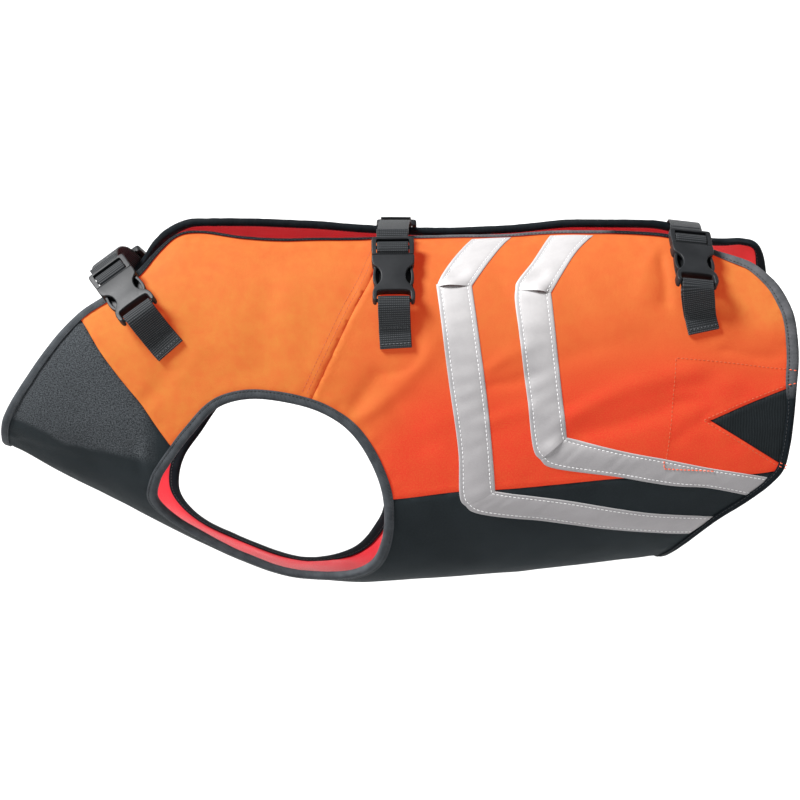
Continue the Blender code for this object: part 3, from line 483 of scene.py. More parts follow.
def relief(x, g):
    """How far the outer cloth stands off its plain form."""
    x, g = np.asarray(x, float), np.asarray(g, float)
    side = np.abs(g)
    left = g < 0
    out = np.where(left, crease_sum(x, side, CREASES_LEFT), crease_sum(x, side, CREASES_RIGHT))
    # both tables agree on the belly line
    out = out * ease(side, 0, 26)
    out = out + 0.34 * waves(x, g, 3, 74) + 0.14 * waves(x, g, 5, 27)
    flat_points = np.stack([x.ravel(), g.ravel()], 1)
    calm = np.ones(len(flat_points))
    for sign in (-1, 1):
        on = (flat_points[:, 1] < 0) if sign < 0 else (flat_points[:, 1] >= 0)
        for path in STRAP_PATHS[sign]:
            d = nearest(flat_points[on], path[::4])
            calm[on] *= ease(d, 13, 25)
    return out * calm.reshape(out.shape)


# ---------------------------------------------------------------- meshes
def new_mesh(name, points, faces, material, uv=None, smooth_angle=None):
    """A mesh piece in the row frame from points in millimetres."""
    mesh = bpy.data.meshes.new(name)
    mesh.from_pydata((np.asarray(points, float) * MM).tolist(), [], [tuple(int(i) for i in f) for f in faces])
    mesh.validate()
    if uv is not None:
        layer = mesh.uv_layers.new(name="UVMap")
        index = np.empty(len(mesh.loops), np.int32)
        mesh.loops.foreach_get("vertex_index", index)
        layer.data.foreach_set("uv", np.asarray(uv, np.float32)[index].ravel())
    mesh.materials.append(material)
    mesh.shade_smooth()
    if smooth_angle:
        mesh.set_sharp_from_angle(angle=math.radians(smooth_angle))
    thing = bpy.data.objects.new(name, mesh)
    bpy.context.scene.collection.objects.link(thing)
    return thing


def wall(name, places, faces, outer, inner, material):
    """A closed thin wall over triangles of places, from the inner height to the outer one, with u, v laid flat."""
    n = len(places)
    top, low = surface(places[:, 0], places[:, 1], outer), surface(places[:, 0], places[:, 1], inner)
    faces = np.asarray(faces)[:, ::-1]
    sides = np.concatenate([faces[:, [0, 1]], faces[:, [1, 2]], faces[:, [2, 0]]])
    key = sides[:, 0].astype(np.int64) * n + sides[:, 1]
    back = sides[:, 1].astype(np.int64) * n + sides[:, 0]
    rim = sides[~np.isin(key, back)]
    quads = np.stack([rim[:, 0], rim[:, 0] + n, rim[:, 1] + n, rim[:, 1]], 1)
    everything = faces.tolist() + (faces[:, ::-1] + n).tolist() + quads.tolist()
    uv = flat(places) * MM
    return new_mesh(name, np.vstack([top, low]), everything, material, np.vstack([uv, uv]), 60)


def grid_faces(rows, columns, wrap_rows=False, wrap_columns=False):
    i, j = np.meshgrid(np.arange(rows if wrap_rows else rows - 1), np.arange(columns if wrap_columns else columns - 1), indexing="ij")
    a = i * columns + j
    b = i * columns + (j + 1) % columns
    c = ((i + 1) % rows) * columns + (j + 1) % columns
    d = ((i + 1) % rows) * columns + j
    return np.stack([a, b, c, d], -1).reshape(-1, 4)


# ---------------------------------------------------------------- bound edges
class Edge:
    def __init__(self, knots, width, side, step):
        self.side, self.width = side, width
        self.finished = spaced(rounded_loop(knots, 16), step, closed=True)
        self.way = inward(self.finished, side=side)
        line = surface(self.finished[:, 0], self.finished[:, 1])
        self.run = np.concatenate([[0], np.cumsum(np.linalg.norm(np.diff(line, axis=0), axis=1))])
        self.length = self.run[-1] + np.linalg.norm(line[0] - line[-1])

    def at(self, by):
        return moved(self.finished, np.asarray(by, float).reshape(-1, 1) * self.way)


def edges(step):
    left = list(NECK) + list(NECK_TOP_LEFT) + list(BACK_LEFT) + list(REAR_TOP_LEFT) + list(REAR)
    right = list(NECK) + list(NECK_TOP_RIGHT) + list(BACK_RIGHT) + list(REAR_TOP_RIGHT) + list(REAR)
    outline = mirrored(left) + right[-2:0:-1]
    return (
        Edge(outline, BIND_WIDTH, -1.0, step),
        Edge(mirrored(ARMHOLE_LEFT), ARM_BIND_WIDTH, 1.0, step),
        Edge(ARMHOLE_RIGHT, ARM_BIND_WIDTH, -1.0, step),
    )


def smooth_line(knots, step=3.0, cuts=12):
    return spaced(unflat(catmull(flat(knots), cuts, False)), step)



def net(loops, lines, spacing):
    """Triangles over the flat cloth with the loops and lines along triangle sides, and which piece each belongs to."""
    points, sides, seen = [], [], {}

    def add(p):
        key = (round(p[0] / 0.05), round(p[1] / 0.05))
        if key not in seen:
            seen[key] = len(points)
            points.append((float(p[0]), float(p[1])))
        return seen[key]

    for loop in loops:
        index = [add(p) for p in loop]
        sides += [(a, b) for a, b in zip(index, index[1:] + index[:1]) if a != b]
    for line in lines:
        index = [add(p) for p in line]
        sides += [(a, b) for a, b in zip(index[:-1], index[1:]) if a != b]
    rows = np.arange(-395, 396, spacing * 0.866)
    x, g = np.meshgrid(np.arange(-324, 322, spacing), rows)
    x = x + (np.arange(len(rows)) % 2)[:, None] * spacing / 2
    field = np.stack([x.ravel(), g.ravel()], 1)
    field += np.random.default_rng(2).normal(0, 0.03 * spacing, field.shape)
    keep = inside(field, loops[0])
    for hole in loops[1:]:
        keep &= ~inside(field, hole)
    field = field[keep]
    for fixed, closed in [(loop, True) for loop in loops] + [(line, False) for line in lines]:
        field = field[nearest(field, fixed, closed) > 0.5 * spacing]
    points += [(float(a), float(b)) for a, b in field]
    made = delaunay_2d_cdt([Vector(p) for p in points], sides, [], 0, 1e-4)
    found = np.array([tuple(v) for v in made[0]])
    faces = np.array(made[2])
    a, b, c = (found[faces[:, k]] for k in range(3))
    area = (b[:, 0] - a[:, 0]) * (c[:, 1] - a[:, 1]) - (b[:, 1] - a[:, 1]) * (c[:, 0] - a[:, 0])
    faces[area < 0] = faces[area < 0][:, ::-1]
    middle = found[faces].mean(1)
    keep = (np.abs(area) > 1e-5) & inside(middle, loops[0])
    for hole in loops[1:]:
        keep &= ~inside(middle, hole)
    faces, middle = faces[keep], middle[keep]
    # spread over neighbours, stopping at the lines that were put in
    walls = {tuple(sorted(e)) for e, source in zip(made[1], made[4]) if len(source)}
    across = {}
    for i, (p, q, r) in enumerate(faces.tolist()):
        for side in ((p, q), (q, r), (r, p)):
            across.setdefault(tuple(sorted(side)), []).append(i)
    beside = [[] for _ in range(len(faces))]
    for side, owners in across.items():
        if len(owners) == 2 and side not in walls:
            beside[owners[0]].append(owners[1])
            beside[owners[1]].append(owners[0])
    label = -np.ones(len(faces), int)
    count = 0
    for start in range(len(faces)):
        if label[start] >= 0:
            continue
        label[start] = count
        stack = [start]
        while stack:
            for k in beside[stack.pop()]:
                if label[k] < 0:
                    label[k] = count
                    stack.append(k)
        count += 1
    return found, faces, middle, label


# ---------------------------------------------------------------- nodes of the materials
def shader(name):
    material = bpy.data.materials.new(name)
    material.use_nodes = True
    tree = material.node_tree
    return material, tree, tree.nodes["Principled BSDF"]


def node(tree, kind, inputs=None, **settings):
    made = tree.nodes.new(kind)
    for key, value in settings.items():
        setattr(made, key, value)
    for key, value in (inputs or {}).items():
        socket = made.inputs[key]
        if isinstance(value, bpy.types.NodeSocket):
            tree.links.new(value, socket)
        else:
            socket.default_value = value
    return made


def place_of(tree, by="Object"):
    return node(tree, "ShaderNodeTexCoord").outputs[by]


def noise(tree, where, scale, detail=3.0, roughness=0.55, stretch=None):
    if stretch:
        where = node(tree, "ShaderNodeMapping", {"Vector": where, "Scale": stretch}).outputs["Vector"]
    return node(
        tree, "ShaderNodeTexNoise", {"Vector": where, "Scale": scale, "Detail": detail, "Roughness": roughness}
    ).outputs["Fac"]


def span(tree, value, low, high, out_low=0.0, out_high=1.0, smooth=False):
    made = node(
        tree, "ShaderNodeMapRange",
        {"Value": value, "From Min": low, "From Max": high, "To Min": out_low, "To Max": out_high},
        interpolation_type="SMOOTHSTEP" if smooth else "LINEAR",
    )
    return made.outputs["Result"]


def maths(tree, operation, a, b=0.0, c=0.0):
    return node(tree, "ShaderNodeMath", {0: a, 1: b, 2: c}, operation=operation).outputs[0]


def blend(tree, factor, a, b, mode="MIX"):
    made = node(tree, "ShaderNodeMix", data_type="RGBA", blend_type=mode)
    sockets = [s for s in made.inputs if s.enabled]
    for socket, value in zip(sockets, (factor, a, b)):
        if isinstance(value, bpy.types.NodeSocket):
            tree.links.new(value, socket)
        else:
            socket.default_value = value if isinstance(value, float) else (*value, 1.0)
    return [s for s in made.outputs if s.enabled][0]


def bumped(tree, surface_shader, height, strength, distance):
    made = node(tree, "ShaderNodeBump", {"Height": height, "Strength": strength, "Distance": distance})
    tree.links.new(made.outputs["Normal"], surface_shader.inputs["Normal"])


def weave(tree, uv, pitch, across=1.0):
    """Height of a plain weave: warp and weft ribs crossing, from 0 to 1, with its pitch in metres."""
    parts = node(tree, "ShaderNodeSeparateXYZ", {"Vector": uv}).outputs
    k = 2 * math.pi / pitch
    a = maths(tree, "SINE", maths(tree, "MULTIPLY", parts["X"], k))
    b = maths(tree, "SINE", maths(tree, "MULTIPLY", parts["Y"], k * across))
    return span(tree, maths(tree, "MULTIPLY", a, b), -1.0, 1.0)


def orange_cloth():
    material, tree, out = shader("orange_cloth")
    where, uv = place_of(tree), place_of(tree, "UV")
    broad = noise(tree, where, 9.0, 3.0)
    mottle = noise(tree, where, 95.0, 4.0, 0.6)
    fine = noise(tree, uv, 900.0, 2.0, 0.6)
    # painted light and shade: the cloth is painted lighter and yellower over the shoulders, the back and the front,
    # where the key light falls, and redder and darker on the lower flanks and towards the rear, which are in shade
    parts = node(tree, "ShaderNodeSeparateXYZ", {"Vector": uv}).outputs
    up = maths(tree, "ABSOLUTE", parts["Y"])
    ahead = span(tree, parts["X"], 0.030, -0.050, 0.0, 0.095, smooth=True)
    aft = span(tree, parts["X"], 0.060, 0.240, 0.0, -0.034, smooth=True)
    high = maths(tree, "ADD", maths(tree, "ADD", up, ahead), aft)
    high = maths(tree, "ADD", high, span(tree, broad, 0.3, 0.7, -0.014, 0.014))
    high = span(tree, high, 0.160, 0.262, smooth=True)
    front = span(tree, parts["X"], -0.010, -0.080, smooth=True)
    # painted shade: less of the painted front light along the top by the spine
    painted_top_shade = span(tree, up, 0.262, 0.318, 0.0, 0.75, smooth=True)
    # painted light: a lighter patch at the rear top
    painted_corner_light = maths(tree, "MULTIPLY", span(tree, parts["X"], 0.235, 0.265), span(tree, up, 0.262, 0.285, smooth=True))
    # these colours are painted light and shade; the mottle and the fine grain below are the cloth's own uneven tone
    colour = blend(tree, high, (0.335, 0.0235, 0.0125), (0.280, 0.104, 0.0220))
    colour = blend(tree, maths(tree, "MULTIPLY", front, high), colour, (0.270, 0.150, 0.0265))
    colour = blend(tree, maths(tree, "MULTIPLY", front, painted_top_shade), colour, (0.275, 0.112, 0.0225))
    colour = blend(tree, painted_corner_light, colour, (0.300, 0.150, 0.0300))
    colour = blend(tree, span(tree, mottle, 0.34, 0.70, 0.0, 0.38), colour, (0.280, 0.052, 0.0145))
    colour = blend(tree, span(tree, fine, 0.35, 0.75, 0.0, 0.50), colour, (0.330, 0.112, 0.0290))
    tree.links.new(colour, out.inputs["Base Color"])
    tree.links.new(span(tree, fine, 0.3, 0.7, 0.62, 0.80), out.inputs["Roughness"])
    out.inputs["Specular IOR Level"].default_value = 0.10
    out.inputs["Sheen Weight"].default_value = 0.02
    out.inputs["Sheen Roughness"].default_value = 0.5
    out.inputs["Sheen Tint"].default_value = (1.0, 0.55, 0.30, 1.0)
    # partly real and partly painted light: the day-glow dye's fluorescence is given as a constant red glow, which also
    # lifts the red in the shade and the cast shadows
    out.inputs["Emission Color"].default_value = (1.0, 0.034, 0.012, 1.0)
    out.inputs["Emission Strength"].default_value = 0.38
    height = maths(tree, "ADD", maths(tree, "MULTIPLY", weave(tree, uv, 0.0009), 0.6), maths(tree, "MULTIPLY", noise(tree, uv, 420.0, 3.0), 1.2))
    bumped(tree, out, height, 0.35, 0.0004)
    return material


def dark_cloth():
    material, tree, out = shader("dark_cloth")
    where, uv = place_of(tree), place_of(tree, "UV")
    # coarse speckled cloth over the chest, which turns smooth and darker under the belly
    parts = node(tree, "ShaderNodeSeparateXYZ", {"Vector": uv}).outputs
    ahead = span(tree, parts["X"], -0.186, -0.200)
    up = maths(tree, "ABSOLUTE", parts["Y"])
    edge = maths(tree, "ADD", up, span(tree, parts["X"], -0.306, -0.262, -0.040, 0.0))
    wander = maths(tree, "ADD", edge, span(tree, noise(tree, uv, 30.0, 2.0), 0.3, 0.7, -0.004, 0.004))
    coarse = maths(tree, "MULTIPLY", ahead, span(tree, wander, 0.106, 0.116, smooth=True))
    grain = noise(tree, uv, 820.0, 3.0, 0.65, stretch=(1.0, 0.9, 1.0))
    lumps = node(tree, "ShaderNodeTexVoronoi", {"Vector": uv, "Scale": 760.0, "Randomness": 0.9}).outputs["Distance"]
    speckled = blend(tree, span(tree, grain, 0.36, 0.66), (0.0085, 0.0108, 0.0125), (0.073, 0.080, 0.087))
    speckled = blend(tree, span(tree, lumps, 0.0, 0.55, 0.48, 0.0), speckled, (0.116, 0.125, 0.136))
    plain = blend(tree, span(tree, noise(tree, where, 22.0, 3.0), 0.3, 0.7), (0.0088, 0.0126, 0.0149), (0.0136, 0.0183, 0.0213))
    plain = blend(tree, span(tree, noise(tree, uv, 700.0, 2.0), 0.4, 0.7, 0.0, 0.35), plain, (0.0175, 0.0230, 0.0265))
    tree.links.new(blend(tree, coarse, plain, speckled), out.inputs["Base Color"])
    tree.links.new(span(tree, coarse, 0.0, 1.0, 0.66, 0.90), out.inputs["Roughness"])
    out.inputs["Specular IOR Level"].default_value = 0.10
    out.inputs["Sheen Weight"].default_value = 0.02
    out.inputs["Sheen Roughness"].default_value = 0.45
    out.inputs["Sheen Tint"].default_value = (0.75, 0.92, 1.0, 1.0)
    smooth = maths(tree, "MULTIPLY", weave(tree, uv, 0.0010), 0.35)
    rough = maths(tree, "MULTIPLY", maths(tree, "ADD", grain, span(tree, lumps, 0.0, 0.6, 1.0, 0.0)), coarse)
    bumped(tree, out, maths(tree, "ADD", smooth, rough), 0.6, 0.0007)
    return material


def black_elastic():
    material, tree, out = shader("black_elastic")
    uv = place_of(tree, "UV")
    parts = node(tree, "ShaderNodeSeparateXYZ", {"Vector": uv}).outputs
    sway = maths(tree, "ADD", parts["X"], span(tree, noise(tree, uv, 26.0, 2.0), 0.3, 0.7, -0.0012, 0.0012))
    rib = span(tree, maths(tree, "SINE", maths(tree, "MULTIPLY", sway, 2 * math.pi / 0.0021)), -1.0, 1.0)
    thread = noise(tree, uv, 1100.0, 2.0)
    # painted shade: the rib troughs are painted darker than the crests
    colour = blend(tree, span(tree, rib, 0.2, 0.9), (0.0062, 0.0086, 0.0100), (0.0100, 0.0132, 0.0150))
    colour = blend(tree, span(tree, thread, 0.45, 0.75, 0.0, 0.35), colour, (0.018, 0.023, 0.026))
    tree.links.new(colour, out.inputs["Base Color"])
    tree.links.new(span(tree, rib, 0.0, 1.0, 0.85, 0.6), out.inputs["Roughness"])
    out.inputs["Specular IOR Level"].default_value = 0.12
    bumped(tree, out, maths(tree, "ADD", rib, maths(tree, "MULTIPLY", thread, 0.5)), 0.22, 0.0004)
    return material


def red_lining():
    material, tree, out = shader("red_lining")
    where, uv = place_of(tree), place_of(tree, "UV")
    broad = noise(tree, where, 16.0, 3.0)
    fine = noise(tree, uv, 650.0, 2.0)
    colour = blend(tree, span(tree, broad, 0.35, 0.65), (0.590, 0.024, 0.040), (0.690, 0.032, 0.048))
    # it is lit through from outside at the rear
    aft = node(tree, "ShaderNodeSeparateXYZ", {"Vector": where}).outputs["X"]
    colour = blend(tree, span(tree, aft, 0.225, 0.270, 0.0, 0.75, smooth=True), colour, (1.000, 0.052, 0.050))
    colour = blend(tree, span(tree, fine, 0.4, 0.75, 0.0, 0.3), colour, (0.740, 0.046, 0.054))
    tree.links.new(colour, out.inputs["Base Color"])
    tree.links.new(span(tree, fine, 0.3, 0.7, 0.42, 0.56), out.inputs["Roughness"])
    out.inputs["Specular IOR Level"].default_value = 0.3
    out.inputs["Sheen Weight"].default_value = 0.06
    # painted glow: a faint constant red glow, though the lining is no lamp
    out.inputs["Emission Color"].default_value = (1.0, 0.02, 0.02, 1.0)
    out.inputs["Emission Strength"].default_value = 0.05
    bumped(tree, out, maths(tree, "ADD", weave(tree, uv, 0.0008), noise(tree, uv, 120.0, 3.0)), 0.3, 0.0004)
    return material


def reflective_tape():
    material, tree, out = shader("reflective_tape")
    uv = place_of(tree, "UV")
    # u runs across the tape from 0 to 1 and v along it in metres
    parts = node(tree, "ShaderNodeSeparateXYZ", {"Vector": uv}).outputs
    off = maths(tree, "ABSOLUTE", maths(tree, "SUBTRACT", parts["X"], 0.5))
    wide = node(tree, "ShaderNodeCombineXYZ", {0: maths(tree, "MULTIPLY", parts["X"], 0.028), 1: parts["Y"], 2: 0.0}).outputs[0]
    beads = noise(tree, wide, 1500.0, 2.0, 0.7)
    cloud = noise(tree, wide, 55.0, 4.0, 0.6)
    band = span(tree, off, 0.375, 0.395, smooth=True)
    selvedge = span(tree, off, 0.478, 0.492)
    # painted light: the tape is painted lighter where it faces up, towards the key light, and darker where it faces
    # down
    up = node(tree, "ShaderNodeSeparateXYZ", {"Vector": node(tree, "ShaderNodeNewGeometry").outputs["Normal"]}).outputs["Z"]
    colour = blend(tree, span(tree, up, -0.20, 0.35, smooth=True), (0.308, 0.295, 0.303), (0.470, 0.455, 0.457))
    colour = blend(tree, span(tree, cloud, 0.32, 0.68, 0.0, 0.30), colour, (0.235, 0.228, 0.232))
    colour = blend(tree, maths(tree, "MULTIPLY", band, 0.16), colour, (0.170, 0.168, 0.178))
    colour = blend(tree, maths(tree, "MULTIPLY", selvedge, 0.5), colour, (0.420, 0.420, 0.420))
    colour = blend(tree, span(tree, beads, 0.45, 0.75, 0.0, 0.25), colour, (0.480, 0.475, 0.480))
    tree.links.new(colour, out.inputs["Base Color"])
    out.inputs["Metallic"].default_value = 0.15
    tree.links.new(span(tree, cloud, 0.3, 0.7, 0.50, 0.60), out.inputs["Roughness"])
    bumped(tree, out, maths(tree, "ADD", beads, maths(tree, "MULTIPLY", cloud, 3.0)), 0.25, 0.0003)
    return material


def edge_binding_cloth():
    material, tree, out = shader("edge_binding_cloth")
    uv = place_of(tree, "UV")
    # u runs round the section and v along the binding, both in metres
    parts = node(tree, "ShaderNodeSeparateXYZ", {"Vector": uv}).outputs
    rib = span(tree, maths(tree, "SINE", maths(tree, "MULTIPLY", parts["Y"], 2 * math.pi / 0.0011)), -1.0, 1.0)
    cloud = noise(tree, uv, 90.0, 4.0, 0.6)
    place = node(tree, "ShaderNodeSeparateXYZ", {"Vector": place_of(tree)}).outputs
    # painted light and shade: the binding is painted a lit grey on the near side at the front end, the rear top, low
    # down and along the middle of the back, with lighter rib tops, and a shaded near-black everywhere else
    rear = maths(tree, "MULTIPLY", span(tree, place["X"], 0.238, 0.262), span(tree, place["Z"], -0.134, -0.120))
    ends = maths(tree, "ADD", span(tree, place["X"], -0.205, -0.222), rear)
    low = maths(tree, "MULTIPLY", span(tree, place["Z"], -0.030, -0.060), span(tree, place["X"], 0.150, 0.100))
    near = span(tree, place["Y"], 0.030, 0.010)
    middle = maths(tree, "MULTIPLY", span(tree, place["X"], 0.012, 0.030), span(tree, place["X"], 0.176, 0.160))
    middle = maths(tree, "MULTIPLY", middle, span(tree, place["Y"], 0.002, -0.008))
    painted_lit_share = maths(tree, "MULTIPLY", maths(tree, "MINIMUM", maths(tree, "ADD", ends, low), 1.0), near)
    painted_lit_share = maths(tree, "MAXIMUM", painted_lit_share, middle)
    lit = blend(tree, span(tree, cloud, 0.3, 0.7), (0.021, 0.025, 0.029), (0.056, 0.062, 0.069))
    lit = blend(tree, span(tree, rib, 0.3, 1.0, 0.0, 0.35), lit, (0.085, 0.090, 0.097))
    dark = blend(tree, span(tree, cloud, 0.3, 0.7), (0.0030, 0.0052, 0.0072), (0.0080, 0.0115, 0.0145))
    # painted highlight: a pale grey where the binding catches the light at the rear top and along the middle of the
    # back
    painted_highlight = blend(tree, span(tree, cloud, 0.3, 0.7), (0.056, 0.059, 0.064), (0.108, 0.108, 0.116))
    colour = blend(tree, painted_lit_share, dark, lit)
    colour = blend(tree, maths(tree, "MULTIPLY", maths(tree, "MAXIMUM", rear, middle), near), colour, painted_highlight)
    tree.links.new(colour, out.inputs["Base Color"])
    tree.links.new(span(tree, cloud, 0.3, 0.7, 0.50, 0.66), out.inputs["Roughness"])
    out.inputs["Specular IOR Level"].default_value = 0.07
    out.inputs["Sheen Weight"].default_value = 0.008
    out.inputs["Sheen Roughness"].default_value = 0.4
    bumped(tree, out, maths(tree, "ADD", maths(tree, "MULTIPLY", rib, 0.5), maths(tree, "MULTIPLY", cloud, 2.0)), 0.5, 0.0005)
    return material


def webbing_cloth():
    material, tree, out = shader("webbing")
    uv = place_of(tree, "UV")
    # u runs across the webbing and v along it, both in metres
    parts = node(tree, "ShaderNodeSeparateXYZ", {"Vector": uv}).outputs
    rib = span(tree, maths(tree, "SINE", maths(tree, "MULTIPLY", parts["Y"], 2 * math.pi / 0.00175)), -1.0, 1.0)
    cord = span(tree, maths(tree, "SINE", maths(tree, "MULTIPLY", parts["X"], 2 * math.pi / 0.0016)), -1.0, 1.0)
    yarn = noise(tree, uv, 900.0, 2.0)
    knot_and_highlight = maths(tree, "MULTIPLY", span(tree, rib, 0.55, 0.95), span(tree, cord, 0.45, 0.95))
    # painted light and shade: the rib troughs are painted darker and the knots, where ribs and cords cross, painted as
    # light dots
    colour = blend(tree, rib, (0.0055, 0.0068, 0.0078), (0.0235, 0.0262, 0.0295))
    colour = blend(tree, maths(tree, "MULTIPLY", knot_and_highlight, 0.75), colour, (0.090, 0.094, 0.100))
    colour = blend(tree, span(tree, yarn, 0.4, 0.7, 0.0, 0.3), colour, (0.014, 0.016, 0.018))
    tree.links.new(colour, out.inputs["Base Color"])
    tree.links.new(span(tree, rib, 0.0, 1.0, 0.7, 0.5), out.inputs["Roughness"])
    out.inputs["Specular IOR Level"].default_value = 0.20
    out.inputs["Sheen Weight"].default_value = 0.03
    bumped(tree, out, maths(tree, "ADD", maths(tree, "MULTIPLY", rib, 1.0), maths(tree, "MULTIPLY", knot_and_highlight, 1.2)), 0.5, 0.0004)
    return material


def buckle_plastic():
    material, tree, out = shader("buckle_plastic")
    where = place_of(tree)
    grain = noise(tree, where, 1400.0, 2.0, 0.6)
    cloud = noise(tree, where, 60.0, 3.0)
    colour = blend(tree, span(tree, cloud, 0.3, 0.7), (0.0115, 0.0125, 0.0140), (0.0185, 0.0198, 0.0218))
    tree.links.new(colour, out.inputs["Base Color"])
    tree.links.new(span(tree, grain, 0.3, 0.7, 0.40, 0.50), out.inputs["Roughness"])
    out.inputs["Specular IOR Level"].default_value = 0.20
    bumped(tree, out, grain, 0.25, 0.00012)
    return material


def thread(name, dark, light):
    material, tree, out = shader(name)
    where = place_of(tree)
    twist = noise(tree, where, 1800.0, 1.0)
    tree.links.new(blend(tree, span(tree, twist, 0.35, 0.65), dark, light), out.inputs["Base Color"])
    tree.links.new(span(tree, twist, 0.3, 0.7, 0.45, 0.65), out.inputs["Roughness"])
    bumped(tree, out, twist, 0.4, 0.0002)
    return material


LOOKS = {
    "orange_cloth": orange_cloth(),
    "dark_cloth": dark_cloth(),
    "black_elastic": black_elastic(),
    "red_lining": red_lining(),
    "reflective_tape": reflective_tape(),
    "edge_binding_cloth": edge_binding_cloth(),
    "webbing": webbing_cloth(),
    "buckle_plastic": buckle_plastic(),
    "thread_white": thread("thread_white", (0.74, 0.74, 0.74), (0.92, 0.92, 0.92)),
    "thread_orange": thread("thread_orange", (0.42, 0.075, 0.026), (0.52, 0.125, 0.042)),
    "thread_bright": thread("thread_bright", (0.70, 0.085, 0.035), (0.85, 0.150, 0.060)),
    "thread_dark": thread("thread_dark", (0.006, 0.007, 0.008), (0.020, 0.022, 0.025)),
    "thread_grey": thread("thread_grey", (0.07, 0.075, 0.08), (0.14, 0.145, 0.155)),
}


def settle(thing, nodes=()):
    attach(thing, "root")
    if nodes:
        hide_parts(*nodes)
    return thing


# ---------------------------------------------------------------- stitches
STITCH_RING = 6


def stitches(name, runs, look, length=2.3, pitch=3.1, width=0.55, rise=0.32):
    """Joined small threads along runs of (points, normals): each a low rounded bar that dips into the cloth at its ends."""
    ends, sides, ups = [], [], []
    for points, normals in runs:
        far = np.concatenate([[0], np.cumsum(np.linalg.norm(np.diff(points, axis=0), axis=1))])
        n = int(far[-1] / pitch)
        if n < 1:
            continue
        start = (np.arange(n) + 0.5) * far[-1] / n - length / 2
        two = [
            np.stack([np.interp(start + along, far, points[:, k]) for k in range(3)], 1) for along in (0.0, length)
        ]
        up = unit(np.stack([np.interp(start + length / 2, far, normals[:, k]) for k in range(3)], 1))
        ends.append(np.stack(two, 1))
        ups.append(up)
    ends, up = np.concatenate(ends), np.concatenate(ups)
    way = unit(ends[:, 1] - ends[:, 0])
    side = unit(np.cross(up, way))
    up = np.cross(way, side)
    rings = ((0.0, 0.25, -0.12), (0.14, 0.85, 0.55), (0.5, 1.0, 1.0), (0.86, 0.85, 0.55), (1.0, 0.25, -0.12))
    angle = np.arange(STITCH_RING) * 2 * np.pi / STITCH_RING
    points = []
    for share, size, height in rings:
        middle = ends[:, 0] + (ends[:, 1] - ends[:, 0]) * share + up * rise * height * 0.6
        for a in angle:
            points.append(middle + side * (math.cos(a) * width / 2 * size) + up * (math.sin(a) * rise * size))
    points = np.stack(points, 1)
    count, per = points.shape[:2]
    faces = grid_faces(len(rings), STITCH_RING, wrap_columns=True)
    last = (len(rings) - 1) * STITCH_RING
    caps = [tuple(range(STITCH_RING))[::-1], tuple(range(last, last + STITCH_RING))]
    quads = (faces[None] + (np.arange(count) * per)[:, None, None]).reshape(-1, 4)
    ngons = [tuple(i + k * per for i in cap) for k in range(count) for cap in caps]
    thing = new_mesh(name, points.reshape(-1, 3), quads.tolist() + ngons, LOOKS[look])
    correct_normals(thing)
    return thing


def correct_normals(thing):
    bm = bmesh.new()
    bm.from_mesh(thing.data)
    bmesh.ops.recalc_face_normals(bm, faces=bm.faces[:])
    bm.to_mesh(thing.data)
    bm.free()


# ---------------------------------------------------------------- the net and what is on it
NET = 2.7
EDGES = edges(2.4)
OUTER, ARM_LEFT, ARM_RIGHT = EDGES


def side_lines(knots, step=2.7):
    line = smooth_line(knots, step)
    return {-1: line * [1, -1], 1: line}


SEAMS = {
    name: side_lines(knots)
    for name, knots in (
        ("chest", CHEST_SEAM), ("shoulder", SHOULDER_SEAM), ("belly", BELLY_SEAM),
        ("gusset_top", GUSSET_TOP_SEAM), ("gusset_low", GUSSET_LOW_SEAM),
    )
}


def near_line(points, line, closed=False):
    """(how far points in space are from a line on the cloth, how far along it the nearest place is)."""
    a = np.asarray(line, float)
    b = np.roll(a, -1, 0) if closed else a[1:]
    a = a if closed else a[:-1]
    length = np.linalg.norm(b - a, axis=1)
    start = np.concatenate([[0], np.cumsum(length)])[:-1]
    near = np.full(len(points), 1e9)
    along = np.zeros(len(points))
    low, high = a.min(0) - 40, a.max(0) + 40
    some = np.where(((points > low) & (points < high)).all(1))[0]
    p = points[some]
    best, where = np.full(len(p), 1e18), np.zeros(len(p))
    for q, r, s, l in zip(a, b, start, length):
        d = r - q
        off = p - q
        u = np.clip(off @ d / max(float(d @ d), 1e-9), 0, 1)
        gap = ((off - u[:, None] * d) ** 2).sum(1)
        closer = gap < best
        best[closer] = gap[closer]
        where[closer] = s + u[closer] * l
    near[some], along[some] = np.sqrt(best), where
    return near, along


def wobble(run, seed, size):
    """An uneven wave along a line, from -1 to 1."""
    rng = np.random.default_rng(seed)
    out = 0.0
    for _ in range(6):
        out = out + np.sin(2 * np.pi * run / (size * rng.uniform(0.55, 1.8)) + rng.uniform(0, 6.28))
    return out / 6 * 1.5


